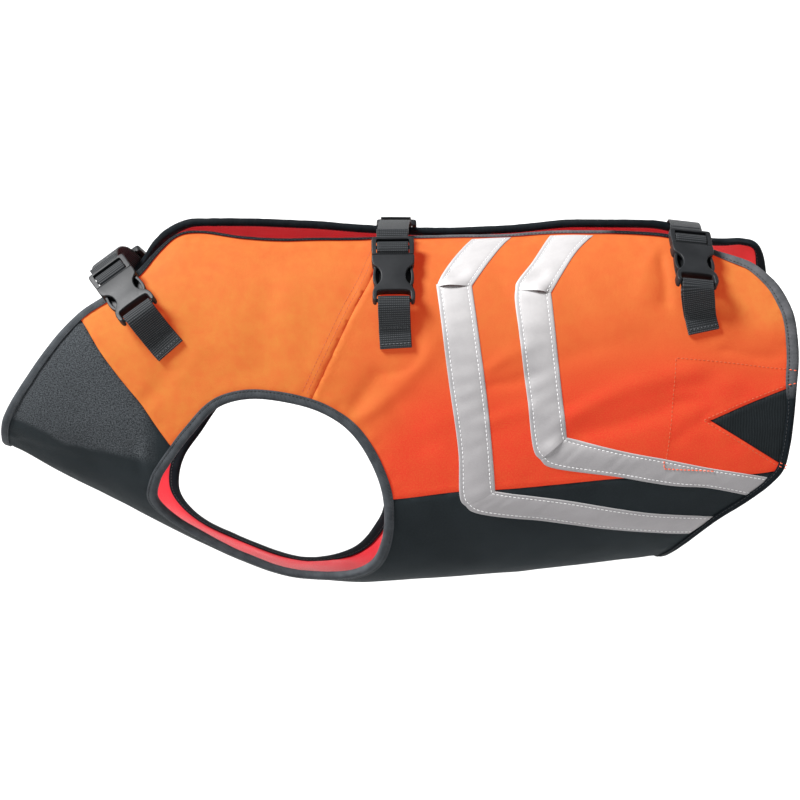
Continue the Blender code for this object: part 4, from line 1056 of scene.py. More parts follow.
class Cloth:
    """The fine net of the whole cloth with its relief, seams, edges and pieces."""

    def __init__(self):
        loops = [flat(edge.at(EDGE_CLOTH)) for edge in EDGES]
        lines = [flat(line[sign]) for line in SEAMS.values() for sign in (-1, 1)]
        self.points, self.faces, self.middle, self.label = net(loops, lines, NET)
        self.places = unflat(self.points)
        self.solid = base(self.places[:, 0], self.places[:, 1])
        x, g = self.points.T
        raw = relief(x, g)
        self.edge_gap = np.full(len(x), 1e9)
        pucker = np.zeros(len(x))
        for k, edge in enumerate(EDGES):
            gap, run = near_line(self.solid, surface(edge.finished[:, 0], edge.finished[:, 1]), True)
            self.edge_gap = np.minimum(self.edge_gap, gap)
            beyond = gap - edge.width
            pucker += 0.34 * wobble(run, 40 + k, 13.0) * np.exp(-(((beyond - 3.5) / 4.2) ** 2)) * (beyond > -2)
            pucker -= 0.22 * np.exp(-((np.maximum(beyond, 0) / 1.3) ** 2))
        self.held = raw * (0.30 + 0.70 * ease(self.edge_gap, 5, 24))
        self.height = self.held + pucker
        seam_depth = {"chest": 0.75, "shoulder": 0.9, "belly": 0.6, "gusset_top": 0.7, "gusset_low": 0.7}
        self.seam_gap = {}
        for name, both in SEAMS.items():
            for sign in (-1, 1):
                line = both[sign]
                gap, run = near_line(self.solid, base(line[:, 0], line[:, 1]))
                self.seam_gap[name, sign] = gap, run
                self.height -= seam_depth[name] * np.exp(-((gap / 0.9) ** 2))
                self.height += 0.30 * np.exp(-(((gap - 3.0) / 2.2) ** 2)) + 0.20 * wobble(run, 70 + sign, 16.0) * np.exp(-(((gap - 5) / 5) ** 2))
        self.wall_areas()

    def wall_areas(self):
        a, b, c = (self.solid[self.faces[:, k]] for k in range(3))
        self.area = np.linalg.norm(np.cross(b - a, c - a), axis=1) / 2

    def piece_at(self, x, g):
        """The label of the piece that holds this flat place."""
        near = np.argmin(((self.middle - (x, g)) ** 2).sum(1))
        return self.label[near]

    def cut(self, chosen):
        """(length along the body, width round it, flat area) of the chosen triangles, in metres."""
        places = self.places[np.unique(self.faces[chosen])]
        x, t = places.T
        length = x.max() - x.min()
        width = 0.0
        for low in np.arange(x.min(), x.max(), 20.0):
            band = (x >= low) & (x < low + 20.0)
            if band.sum() > 3:
                run = np.linspace(t[band].min(), t[band].max(), 60)
                line = base(np.full(60, low + 10.0), run)
                width = max(width, np.linalg.norm(np.diff(line, axis=0), axis=1).sum())
        return length * MM, width * MM, self.area[chosen].sum() * MM * MM


CLOTH = Cloth()


def declare(thing, length, width, area, rests_on=(), held="stretched"):
    """States the cut; a piece whose cut is a bent shape is widened so that its area fills at least 0.31 of the
    rectangle. States the cut; a piece whose cut is a bent shape is given the smallest rectangle that the tool
    allows.
    """
    share = area / (length * width)
    if share < 0.31:
        width = area / length / 0.31
    print("cut", thing.name, round(width * 1000), "x", round(length * 1000), "mm, area", round(area * 1e4), "cm2")


def cloth_wall(name, node_name, chosen, look):
    faces = CLOTH.faces[chosen]
    used = np.unique(faces)
    number = -np.ones(len(CLOTH.points), int)
    number[used] = np.arange(len(used))
    places = CLOTH.places[used].copy()
    faces = number[faces]
    height = CLOTH.height[used]
    inner = 0.8 * CLOTH.held[used] - 1.75
    if name.startswith("shoulder"):
        # the shoulder's edge is turned under and stands over the flank's
        gap = CLOTH.seam_gap["shoulder", -1 if name.endswith("left") else 1][0][used]
        height = height + 0.85 * np.exp(-((gap / 2.6) ** 2))
    # the rim is drawn in by half the gap that lies between two pieces
    sides = np.concatenate([faces[:, [0, 1]], faces[:, [1, 2]], faces[:, [2, 0]]])
    n = len(places)
    key, back = sides[:, 0].astype(np.int64) * n + sides[:, 1], sides[:, 1].astype(np.int64) * n + sides[:, 0]
    rim = sides[~np.isin(key, back)]
    solid = base(places[:, 0], places[:, 1])
    normal = slopes(places[:, 0], places[:, 1])[2]
    into = np.zeros((n, 3))
    for a, b in ((0, 1),):
        way = unit(np.cross(solid[rim[:, 1]] - solid[rim[:, 0]], normal[rim[:, 0]]))
        np.add.at(into, rim[:, 0], way)
        np.add.at(into, rim[:, 1], way)
    on = np.unique(rim)
    places[on] = moved(places[on], 0.12 * unit(into[on]))
    inner = np.minimum(inner, height - 0.9)
    thing = wall(name, places, faces, height, inner, LOOKS[look])
    settle(thing, [node_name])
    declare(thing, *CLOTH.cut(chosen))
    return thing


# ---------------------------------------------------------------- cloth pieces
PIECES = (
    # name, x, g inside it, node, look
    ("underbody", -100.0, 0.0, "underbody_panel", "dark_cloth"),
    ("shoulder_left", -150.0, -280.0, "shoulder_panel_left", "orange_cloth"),
    ("shoulder_right", -150.0, 280.0, "shoulder_panel_right", "orange_cloth"),
    ("flank_left", 150.0, -250.0, "flank_panel_left", "orange_cloth"),
    ("flank_right", 150.0, 250.0, "flank_panel_right", "orange_cloth"),
    ("elastic_left", 285.0, -160.0, "gusset_left", "black_elastic"),
    ("elastic_right", 285.0, 160.0, "gusset_right", "black_elastic"),
)

owner = {}
for name, x, g, node_name, look in PIECES:
    owner[name] = CLOTH.piece_at(x, g)
whose = {label: name for name, label in owner.items()}
if len(whose) != len(PIECES):
    raise ValueError("a seam doesn't part two pieces")
# a sliver cut off between a seam and an edge goes with the nearest piece
seed = np.array([(x, g) for _, x, g, _, _ in PIECES])
known = np.isin(CLOTH.label, list(whose))
big = CLOTH.middle[known]
for label in np.unique(CLOTH.label[~known]):
    these = CLOTH.label == label
    spot = CLOTH.middle[these].mean(0)
    CLOTH.label[these] = CLOTH.label[known][np.argmin(((big - spot) ** 2).sum(1))]
for name, x, g, node_name, look in PIECES:
    cloth_wall(name + "_cloth", node_name, CLOTH.label == owner[name], look)


# slack folds of the lining below the armholes, as in the crease tables but with g of either side
LINING_FOLDS = (
    # x0, g0, x1, g1, width, height
    (-186, 64, -128, 40, 6.0, -2.4),
    (-166, 72, -118, 58, 5.0, -1.8),
    (-140, 46, -84, 34, 6.5, -2.0),
    (-92, 42, -44, 30, 6.0, -2.2),
    (-62, 50, -30, 54, 5.0, -1.6),
    (-36, 66, -12, 96, 5.5, -2.0),
    (-180, -66, -132, -44, 6.0, -2.0),
    (-104, -40, -56, -46, 6.5, -2.0),
    (-40, -58, -14, -88, 6.0, -1.8),
)


def lining():
    """The red lining: one wall inside all the panels, coarser, with its own soft folds."""
    loops = [flat(edge.at(EDGE_CLOTH + 0.3))[::2] for edge in EDGES]
    points, faces, _, _ = net(loops, [], 5.0)
    places = unflat(points)
    solid = base(places[:, 0], places[:, 1])
    gap = np.full(len(points), 1e9)
    for edge in EDGES:
        gap = np.minimum(gap, near_line(solid, surface(edge.finished[:, 0], edge.finished[:, 1]), True)[0])
    x, g = points.T
    held = relief(x, g) * (0.30 + 0.70 * ease(gap, 5, 24))
    slack = 0.9 * (waves(x, g, 11, 60, 9) - 1.0) + 0.5 * (waves(x, g, 12, 24, 9) - 1.0)
    outer = 0.8 * held - 2.15 + np.minimum(slack, 0) * ease(gap, 9, 30)
    outer += np.where(np.abs(g) < 120, crease_sum(x, g, LINING_FOLDS), 0) * ease(gap, 4, 14)
    outer = np.minimum(outer, 0.8 * held - 2.1)
    thing = wall("lining_cloth", places, faces, outer, outer - 0.8, LOOKS["red_lining"])
    settle(thing, ["lining"])
    everything = np.ones(len(CLOTH.faces), bool)
    declare(thing, *CLOTH.cut(everything))


lining()


# ---------------------------------------------------------------- bindings
# how wide the outer leg shows along the outer edge: from this x on, on the top half (|t| above) and the lower half
LEG_TOP = (
    # x, width
    (-330, 7.2), (-215, 7.0), (-188, 5.0), (-160, 3.3), (-20, 3.3), (12, 4.6), (225, 5.0), (252, 7.0), (270, 9.4), (296, 10.4),
    (310, 10.6), (330, 10.0),
)
LEG_LOW = ((-330, 7.2), (200, 6.0), (300, 6.6), (330, 7.4))
TOP_FROM = 0.5


def leg_width(places):
    x, t = places.T
    top = smooth_table(np.array([r[0] for r in LEG_TOP], float), np.array([r[1] for r in LEG_TOP], float), x)
    low = smooth_table(np.array([r[0] for r in LEG_LOW], float), np.array([r[1] for r in LEG_LOW], float), x)
    share = ease(np.abs(t), TOP_FROM - 0.06, TOP_FROM + 0.06)
    return low + (top - low) * share


def inner_width(places):
    """The inner leg, which is wider where the far edge comes down to the neck."""
    x, t = places.T
    return 7.5 + 3.2 * ease(t, 0.56, 0.64) * ease(x, -262, -246) * ease(-x, 158, 178) - 3.0 * ease(t, 0.82, 0.86) * ease(x, 236, 250)


def binding(name, node_name, edge, seed, wide, inner):
    """The folded tape: a soft U round the edge, a little uneven, with a stitched groove by its inner edge."""
    section = (
        # leg (1 outer, -1 inner, 0 neither), share of that leg in from the finished edge, mm more, height
        (1, 0.985, 0.0, 0.50), (1, 0.993, 0.0, 0.95), (1, 0.93, 0.0, 1.18), (1, 0.80, 0.0, 0.92), (1, 0.66, 0.0, 1.30),
        (1, 0.46, 0.0, 1.62), (1, 0.27, 0.0, 1.50), (0, 0.0, 0.75, 0.95), (0, 0.0, 0.15, -0.2), (0, 0.0, 0.0, -1.65),
        (0, 0.0, 0.15, -3.2), (0, 0.0, 0.75, -4.25), (-1, 0.27, 0.0, -4.72), (-1, 0.46, 0.0, -4.80), (-1, 0.66, 0.0, -4.55),
        (-1, 0.80, 0.0, -4.20), (-1, 0.93, 0.0, -4.45), (-1, 0.993, 0.0, -4.25), (-1, 0.985, 0.0, -3.80),
        (-1, 0.80, 0.0, -3.72), (0, 0.0, 1.4, -3.68), (0, 0.0, 0.78, -3.2), (0, 0.0, 0.72, -1.65), (0, 0.0, 0.78, -0.2),
        (0, 0.0, 1.4, 0.38), (1, 0.80, 0.0, 0.42),
    )
    rings, n = [], len(edge.finished)
    run = edge.run
    loose = 0.5 * wobble(run, seed, 26.0) + 0.35 * wobble(run, seed + 1, 9.0)
    shift = 0.28 * wobble(run, seed + 2, 34.0)
    roll = 0.22 * wobble(run, seed + 3, 11.0)
    strip = edge.at(edge.width + 1.0)
    g = strip[:, 1] * GIRTH
    lift = 0.30 * relief(strip[:, 0], g)
    for j, (leg, share, more, h) in enumerate(section):
        outside = 1.0 if h > -1.65 else -1.0
        crown = math.sin(math.pi * min(1.0, share)) if leg else 0.5
        shown = j < 19
        puff = (0.24 * loose * crown + 0.10 * roll) * outside if shown else 0.0
        width = wide if leg > 0 else inner
        by = width * share + more
        if shown and leg and share > 0.5:
            by = by + shift * 0.5
        line = edge.at(by * np.ones(n))
        rings.append(surface(line[:, 0], line[:, 1], h + lift + puff))
    points = np.stack(rings, 1)
    count = len(section)
    faces = grid_faces(n, count, wrap_rows=True, wrap_columns=True)
    around = np.linalg.norm(np.diff(points, axis=1), axis=2).mean(0)
    width = np.concatenate([[0], np.cumsum(around)])
    uv = np.stack(np.broadcast_arrays(width[None] * MM, run[:, None] * MM), -1)
    thing = new_mesh(name, points.reshape(-1, 3), faces, LOOKS["edge_binding_cloth"], uv.reshape(-1, 2), 75)
    correct_normals(thing)
    settle(thing, [node_name])
    unfolded = (float(np.mean(wide)) + float(np.mean(inner)) + 5.5) * MM
    declare(thing, edge.length * MM, unfolded, edge.length * MM * unfolded)
    lines = []
    for leg, sign, height in ((wide, 1.0, 0.97), (inner, -1.0, -4.25)):
        seam = edge.at(leg * 0.80 * np.ones(n))
        places = np.vstack([seam, seam[:1]])
        normal = slopes(places[:, 0], places[:, 1])[2]
        lines.append((surface(places[:, 0], places[:, 1], np.append(lift, lift[0]) + height), sign * normal))
    return lines


runs = []
for name, node_name, edge, seed, wide, inner in (
    ("outer_binding", "edge_binding", OUTER, 5, leg_width(OUTER.finished), inner_width(OUTER.finished)),
    ("armhole_binding_fold_left", "armhole_binding_left", ARM_LEFT, 15, 8.0, 8.0),
    ("armhole_binding_fold_right", "armhole_binding_right", ARM_RIGHT, 25, 8.0, 9.5),
):
    runs += binding(name, node_name, edge, seed, wide, inner)
settle(stitches("binding_stitches", runs, "thread_dark", 2.2, 3.0))


# ---------------------------------------------------------------- tapes
def between(line, start, end):
    """The smooth stretch of a table line from one fractional knot to another, with sharp ends."""
    line = flat(line)

    def at(k):
        i = min(int(k), len(line) - 2)
        return line[i] + (line[i + 1] - line[i]) * (k - i)

    knots = [at(start)] + [line[k] for k in range(len(line)) if start + 0.05 < k < end - 0.05] + [at(end)]
    return unflat(catmull(np.array(knots), 12, False))


def cloth_height(places):
    """Height of the outer cloth, without its puckers, at places."""
    solid = base(places[:, 0], places[:, 1])
    gap = np.full(len(places), 1e9)
    for edge in EDGES:
        gap = np.minimum(gap, near_line(solid, surface(edge.finished[:, 0], edge.finished[:, 1]), True)[0])
    x, g = places[:, 0], places[:, 1] * GIRTH
    return relief(x, g) * (0.30 + 0.70 * ease(gap, 5, 24)), gap


TAPE_ACROSS = (0.0, 0.012, 0.05, 0.10, 0.125, 0.15, 0.20, 0.32, 0.44, 0.56, 0.68, 0.80, 0.85, 0.875, 0.90, 0.95, 0.988, 1.0)
TAPE_PROFILE = (0.34, 0.62, 0.70, 0.62, 0.50, 0.66, 0.80, 0.92, 0.98, 0.98, 0.92, 0.80, 0.66, 0.50, 0.62, 0.70, 0.62, 0.34)


# how high the fold stands at each tape's two corners, and where across the tape it stands highest
TAPE_FOLDS = {"front": ((3.0, 0.34), (0.25, 0.5)), "rear": ((2.8, 0.72), (1.5, 0.42))}
TUCK = (2.2, 1.5, 0.9, 0.4)


def tucked(line):
    """The line with its start led back by the tuck, under the length before it."""
    line = flat(line)
    back = line[0] - line[3]
    back /= np.linalg.norm(back)
    return unflat(np.vstack([line[0] + back * by for by in TUCK] + [line]))


def tape(name, sign, spec, folds):
    outer_line, inner_line, outer_corners, inner_corners = spec
    ends = [(0.0, 0.0)] + list(zip(outer_corners, inner_corners)) + [(len(outer_line) - 1.0, len(inner_line) - 1.0)]
    finished = flat(OUTER.at(OUTER.width - 1.0))
    points_all, faces_all, uv_all, stitch_runs, base_index = [], [], [], [], 0
    total = 0.0
    for stretch, (start, stop) in enumerate(zip(ends[:-1], ends[1:])):
        a = spaced(between(outer_line, start[0], stop[0]) * [1, sign], 1.0)
        b = spaced(between(inner_line, start[1], stop[1]) * [1, sign], 1.0)
        n = max(12, int((len(a) + len(b)) / 2 / 2.2))
        a = np.stack([np.interp(np.linspace(0, 1, n), np.linspace(0, 1, len(a)), a[:, k]) for k in (0, 1)], 1)
        b = np.stack([np.interp(np.linspace(0, 1, n), np.linspace(0, 1, len(b)), b[:, k]) for k in (0, 1)], 1)
        # only what lies inside the edge binding
        centre = flat((a + b) / 2)
        keep = inside(flat(a), finished) | inside(flat(b), finished)
        a, b = a[keep], b[keep]
        under = 0
        if stretch > 0 and folds[stretch - 1][0] > 1.0:
            a, b, under = tucked(a), tucked(b), len(TUCK)
        n = len(a)
        across = np.array(TAPE_ACROSS)
        places = a[:, None] * (1 - across)[None, :, None] + b[:, None] * across[None, :, None]
        line = base(*((a + b) / 2).T)
        run = np.concatenate([[0], np.cumsum(np.linalg.norm(np.diff(line, axis=0), axis=1))])
        held, gap = cloth_height(places.reshape(-1, 2))
        held = held.reshape(n, -1)
        # under the binding the tape is pressed to the cloth
        press = ease(gap.reshape(n, -1), OUTER.width - 0.5, OUTER.width + 4.0)
        profile = np.array(TAPE_PROFILE)[None]
        ripple = 0.16 * wobble(run, 90 + stretch + 7 * (sign > 0), 15.0)[:, None] * np.sin(np.pi * across)[None]
        lip = np.zeros(n)
        tail = run[-1] - run
        peak = 0.5
        if stretch < 2:
            high, peak = folds[stretch]
            lip += high * np.exp(-((tail / 6.5) ** 2))
        # the fold stands up most at its peak
        swell = np.sin(np.pi * np.clip((across - 0.09) / 0.82, 0.0, 1.0) ** (math.log(0.5) / math.log(peak)))
        stand = lip[:, None] * (0.04 + 0.96 * swell)[None]
        dimple = np.zeros((n, len(across)))
        if stretch == 0:
            dimple = -1.5 * np.exp(-(((tail[:, None] - 14.0) / 6.0) ** 2) - (((across[None] - 0.40) / 0.20) ** 2))
        top = held + (0.30 + (profile - 0.30) * (0.25 + 0.75 * press)) + (ripple + stand + dimple) * press
        top = np.maximum(top, held + 0.34)
        if under:
            top[:under] = held[:under] + 0.34 + 0.02 * np.arange(under)[:, None]
        low = np.minimum(top - 0.30, held + 0.10)
        low = np.maximum(low, held + 0.06)
        if stretch < 2 and folds[stretch][0] > 1.0:
            low = np.maximum(low, top - 0.42)
        m = len(across)
        upper = surface(places[..., 0].ravel(), places[..., 1].ravel(), top.ravel())
        lower = surface(places[..., 0].ravel(), places[..., 1].ravel(), low.ravel())
        quads = grid_faces(n, m)
        ring = np.concatenate([
            np.arange(m), np.arange(1, n) * m + m - 1, (n - 1) * m + np.arange(m - 2, -1, -1), np.arange(n - 2, 0, -1) * m,
        ])
        after = np.roll(ring, -1)
        count = n * m
        walls = np.stack([ring, after, after + count, ring + count], 1)
        everything = np.concatenate([quads[:, ::-1], quads + count, walls])
        points_all.append(np.vstack([upper, lower]))
        faces_all.append(everything + base_index)
        one = np.stack(np.broadcast_arrays(across[None], (run[:, None] + total) * MM), -1).reshape(-1, 2)
        uv_all += [one, one]
        base_index += 2 * count
        total += run[-1]
        for share in (0.125, 0.875):
            k = int(np.argmin(np.abs(across - share)))
            normals = slopes(places[:, k, 0], places[:, k, 1])[2]
            line = surface(places[:, k, 0], places[:, k, 1], top[:, k] + 0.02)
            stitch_runs.append((line[under:], normals[under:]))
    thing = new_mesh(name, np.vstack(points_all), np.vstack(faces_all), LOOKS["reflective_tape"], np.vstack(uv_all), 50)
    correct_normals(thing)
    return thing, stitch_runs, total


white_runs = []
for which, spec in TAPES.items():
    for side, sign in (("left", -1), ("right", 1)):
        thing, more, length = tape("tape_%s_band_%s" % (which, side), sign, spec, TAPE_FOLDS[which])
        settle(thing, ["tape_%s_%s" % (which, side)])
        declare(thing, length * MM, 0.0285, length * 0.0285 * MM, held="laid", rests_on=["flank_panel_" + side])
        white_runs += more
settle(stitches("tape_stitches", white_runs, "thread_white", 2.4, 3.4, 0.52, 0.26))


# ---------------------------------------------------------------- straps
def frame_on(x, t, lean, pitch, h):
    along, around, normal = slopes(x, t)
    around = around * (1 if t > 0 else -1)
    sideways = unit(along - (along @ normal) * normal)
    up = unit(around - (around @ normal) * normal - (around @ sideways) * sideways)
    a, b = math.radians(lean), math.radians(pitch)
    way = math.cos(a) * up + math.sin(a) * sideways
    cross = unit(math.cos(a) * sideways - math.sin(a) * up)
    out = math.cos(b) * normal + math.sin(b) * way
    way = math.cos(b) * way - math.sin(b) * normal
    return base(x, t) + h * normal, way, cross, out


def curve_through(points, step):
    """A dense centripetal Catmull-Rom curve through points in space."""
    dense = catmull(points, 12, False)
    far = np.concatenate([[0], np.cumsum(np.linalg.norm(np.diff(dense, axis=0), axis=1))])
    stops = np.linspace(0, far[-1], max(2, int(far[-1] / step)) + 1)
    share = np.interp(stops, far, np.linspace(0, 1, len(dense)))
    return np.stack([np.interp(stops, far, dense[:, k]) for k in range(3)], 1), stops, share


STRAP_SECTION = (
    # across, height: the woven edges are rolled
    (-12.50, 0.00), (-12.40, 0.42), (-12.05, 0.66), (-11.3, 0.70), (-10.6, 0.58), (-9.6, 0.64), (-6.0, 0.70), (0.0, 0.72),
    (6.0, 0.70), (9.6, 0.64), (10.6, 0.58), (11.3, 0.70), (12.05, 0.66), (12.40, 0.42), (12.50, 0.00), (12.40, -0.42),
    (12.05, -0.66), (11.3, -0.70), (6.0, -0.70), (0.0, -0.70), (-6.0, -0.70), (-11.3, -0.70), (-12.05, -0.66), (-12.40, -0.42),
)


def strap(name, line, side, step=1.0):
    """Webbing with rolled edges along the middle line in space."""
    n0 = len(line)
    dense, run, share = curve_through(line, step)
    at = share * (n0 - 1)
    side = unit(np.stack([np.interp(at, np.arange(n0), side[:, k]) for k in range(3)], 1))
    way = np.gradient(dense, axis=0)
    way = unit(way)
    side = unit(side - (side * way).sum(1, keepdims=True) * way)
    normal = np.cross(way, side)
    section = np.array(STRAP_SECTION)
    fray = 0.10 * wobble(run, len(name), 11.0)[:, None]
    across = section[None, :, 0] * (1 + fray / 12.5 * (np.abs(section[None, :, 0]) > 11))
    points = dense[:, None] + across[..., None] * side[:, None] + section[None, :, 1, None] * normal[:, None]
    n, m = points.shape[:2]
    faces = grid_faces(n, m, wrap_columns=True).tolist()
    faces += [tuple(range(m)), tuple(range((n - 1) * m, n * m))[::-1]]
    around = np.concatenate([[0], np.cumsum(np.linalg.norm(np.diff(section, axis=0), axis=1))])
    uv = np.stack(np.broadcast_arrays(section[None, :, 0] * MM, run[:, None] * MM), -1).reshape(-1, 2)
    thing = new_mesh(name, points.reshape(-1, 3), faces, LOOKS["webbing"], uv, 55)
    correct_normals(thing)
    return thing, dense, side, normal, run


def webbing_run(x, t, lean, frame, end, webbing_lean):
    """The sewn webbing's middle line, as in the CAD."""
    origin, way, cross, out = frame
    places, step = walk_down(x, t, lean, webbing_lean, end)
    far = np.arange(len(places)) * step
    line, sides = [], []

    def on_cloth(s, h):
        point, _, across, _ = frame_on(
            np.interp(s, far, places[:, 0]), np.interp(s, far, places[:, 1]), webbing_lean, 0.0, h
        )
        line.append(point)
        sides.append(across)

    def on_buckle(u, n):
        line.append(origin + way * u + out * n)
        sides.append(cross)

    low = 0.3 + WEBBING / 2
    high = low + WEBBING + 0.4
    for s in (end, end - 3.5, end - 7.0, end - 10.0, end - 13.0):
        on_cloth(s, low)
    on_buckle(BAR_U - 5.5, BAR_N - BAR_TURN - 1.6)
    for angle in (-115, -92, -70, -48, -25, 0, 25, 48, 70, 90, 110):
        a = math.radians(angle)
        on_buckle(BAR_U + BAR_TURN * math.cos(a), BAR_N + BAR_TURN * math.sin(a))
    on_buckle(BAR_U - 6.0, BAR_N + BAR_TURN - 2.0)
    for s in (end - 11.5, end - 9.0, end - 6.0, end - 3.0, end - 0.5):
        on_cloth(s, high)
    return np.array(line), np.array(sides)


def bridge_run(left, right, follow):
    """The middle line of the webbing over the open back, as in the CAD, with a turn round the ladder bar at each end."""
    def around_bar(frame):
        origin, way, _, out = frame
        tail = ((42.0, -2.0), (36.0, -1.3), (29.5, -0.7), (22.0, -0.7), (17.5, -0.3))
        turn = ((15.6, 0.9), (14.9, 2.9), (15.2, 5.1), (16.7, 6.9), (19.8, 7.6), (23.2, 7.2), (25.2, 5.6))
        leave = ((25.9, 3.8), (26.1, 2.3), (27.2, 1.2), (29.5, 1.0))
        return np.array([origin + way * u + out * n for u, n in tail + turn + leave])

    a, b = around_bar(left), around_bar(right)
    p0, d0 = a[-1], left[1]
    p1, d1 = b[-1], -right[1]
    span_ = np.linalg.norm(p1 - p0)
    u = np.linspace(0, 1, 15)[1:-1, None]
    pull = span_ * follow
    arch = (
        (2 * u**3 - 3 * u**2 + 1) * p0 + (u**3 - 2 * u**2 + u) * pull * d0
        + (3 * u**2 - 2 * u**3) * p1 + (u**3 - u**2) * pull * d1
    )
    line = np.vstack([a, arch, b[::-1]])
    share = np.concatenate([np.zeros(len(a)), u[:, 0], np.ones(len(b))])[:, None]
    other = right[2] if right[2] @ left[2] > 0 else -right[2]
    return line, unit(left[2] * (1 - share) + other * share)


def cross_line(dense, side, normal, run, at, height, half=11.6):
    """A line of stitching straight across the webbing."""
    k = int(np.argmin(np.abs(run - at)))
    u = np.linspace(-half, half, 24)[:, None]
    sign = 1.0 if height > 0 else -1.0
    return dense[k] + u * side[k] + normal[k] * (height + 0.02 * sign), np.repeat(sign * normal[k][None], 24, 0)


dark_runs, grey_runs = [], []
BUCKLE_FRAMES = {}
for name, x, t, lean, pitch, rise, right_up, right_aft, end, webbing_lean, follow in FASTENINGS:
    frames = []
    for which, along, place in (("left", x, -t), ("right", x + right_aft, t + right_up)):
        frame_here = frame_on(along, place, lean, pitch, rise)
        frames.append(frame_here)
        BUCKLE_FRAMES[name, which] = frame_here
        line, sides = webbing_run(along, place, lean, frame_here, end, webbing_lean)
        thing, dense, side, normal, run = strap("webbing_%s_%s" % (name, which), line, sides)
        settle(thing, ["anchor_strap_%s_%s" % (name, which)])
        print("cut", thing.name, "25 x", round(run[-1]), "mm")
        # which face looks outwards on the upper layer
        k = int(np.argmin(np.abs(run - (run[-1] - 6))))
        sign = 1.0 if normal[k] @ frame_here[3] > 0 else -1.0
        dark_runs.append(cross_line(dense, side, normal, run, run[-1] - 15.7, 0.74 * sign))
        grey_runs.append(cross_line(dense, side, normal, run, run[-1] - 3.2, 0.74 * sign))
    line, sides = bridge_run(*frames, follow)
    thing, dense, side, normal, run = strap("webbing_bridge_" + name, line, sides)
    settle(thing, ["bridge_strap_" + name])
    print("cut", thing.name, "25 x", round(run[-1]), "mm")
settle(stitches("webbing_bar_stitches", dark_runs, "thread_dark", 2.0, 2.5, 0.7, 0.35))
settle(stitches("webbing_hem_stitches", grey_runs, "thread_grey", 1.7, 2.6, 0.55, 0.28))

# ---------------------------------------------------------------- buckles
HOUSING = (
    # u, v of half the outline, from the mouth round the foot to the middle of the slot
    (12.6, 15.2), (12.4, 16.3), (11.4, 16.8), (7.4, 16.7), (4.4, 16.3), (2.8, 15.3), (1.5, 13.3), (-0.4, 11.4), (-3.2, 10.1),
    (-6.5, 9.6), (-9.6, 9.7), (-12.2, 10.7), (-14.4, 12.4), (-16.6, 14.4), (-19.2, 15.9), (-22.0, 16.6), (-25.8, 16.7),
    (-28.2, 16.2), (-29.3, 15.1), (-29.2, 13.9), (-28.2, 13.3), (-24.6, 13.2), (-22.0, 13.1), (-20.6, 12.2), (-20.0, 9.6),
    (-19.7, 5.0),
)
BASE = ((29.5, 13.8), (29.2, 15.6), (28.2, 16.5), (26.0, 16.8), (20.0, 16.8), (14.6, 16.6), (13.0, 16.2), (12.9, 14.0))
WINDOW = ((27.3, 11.2), (27.0, 12.6), (26.0, 13.1), (20.0, 13.1), (14.6, 13.1), (13.8, 12.6), (13.6, 11.2))
BACK_PLATE = ((4.0, 14.9), (0.0, 15.3), (-8.0, 15.5), (-15.0, 15.3), (-18.6, 15.2), (-19.4, 13.0), (-19.5, 5.0))
ARM = (
    (9.0, 14.6), (4.0, 14.9), (0.5, 15.4), (-3.5, 16.0), (-7.5, 16.2), (-11.0, 15.8), (-13.8, 14.8), (-15.6, 13.2), (-15.2, 12.2),
    (-12.8, 12.9), (-9.0, 13.8), (-4.0, 13.9), (0.5, 13.2), (4.0, 12.4), (9.0, 11.6), (14.0, 11.2), (14.0, 14.4),
)


def whole_outline(half):
    return [(u, v) for u, v in half] + [(u, -v) for u, v in reversed(half)]


def slab(outline, low, high, soft, crown=0.0):
    """A closed flat body with this outline and rolled edges: an upper and a lower face that swell by the crown."""
    line = np.array(outline, float)
    if ((line[:, 0] * np.roll(line[:, 1], -1)) - (np.roll(line[:, 0], -1) * line[:, 1])).sum() < 0:
        line = line[::-1]
    ahead, back = unit(np.roll(line, -1, 0) - line), unit(line - np.roll(line, 1, 0))
    run = unit(ahead + back)
    into = np.stack([-run[:, 1], run[:, 0]], 1) / np.maximum(0.55, (run * ahead).sum(1, keepdims=True))
    edge = ((0.0, 1.0), (0.10, 0.55), (0.32, 0.22), (0.62, 0.05), (1.0, 0.0))
    if crown:
        edge += ((2.2, -crown * 0.5), (3.6, -crown))
    n = len(line)
    rings = [(by, low + drop * soft) for by, drop in edge][::-1] + [(by, high - drop * soft) for by, drop in edge]
    points = np.concatenate([np.column_stack([line + into * by * soft, np.full(n, h)]) for by, h in rings])
    faces = grid_faces(len(rings), n, wrap_columns=True).tolist()
    last = (len(rings) - 1) * n
    faces += [tuple(range(n))[::-1], tuple(range(last, last + n))]
    return points, faces


def part_mesh(name, points, faces):
    mesh = bpy.data.meshes.new(name)
    mesh.from_pydata(np.asarray(points).tolist(), [], [tuple(f) for f in faces])
    bm = bmesh.new()
    bm.from_mesh(mesh)
    bmesh.ops.recalc_face_normals(bm, faces=bm.faces[:])
    bm.to_mesh(mesh)
    bm.free()
    return mesh


def box_part(u, v, n):
    points = [(a, b, c) for a in u for b in v for c in n]
    return points, ((0, 1, 3, 2), (4, 6, 7, 5), (0, 4, 5, 1), (2, 3, 7, 6), (0, 2, 6, 4), (1, 5, 7, 3))


def rod_part(u, n, ru, rn, half, count=16):
    """A bar across the buckle with a rounded section."""
    angle = np.arange(count) * 2 * np.pi / count
    section = np.stack([u + ru * np.cos(angle), n + rn * np.sin(angle)], 1)
    points = [(a, v, b) for v in (-half, half) for a, b in section]
    faces = grid_faces(2, count, wrap_columns=True).tolist()
    return points, faces + [tuple(range(count))[::-1], tuple(range(count, 2 * count))]


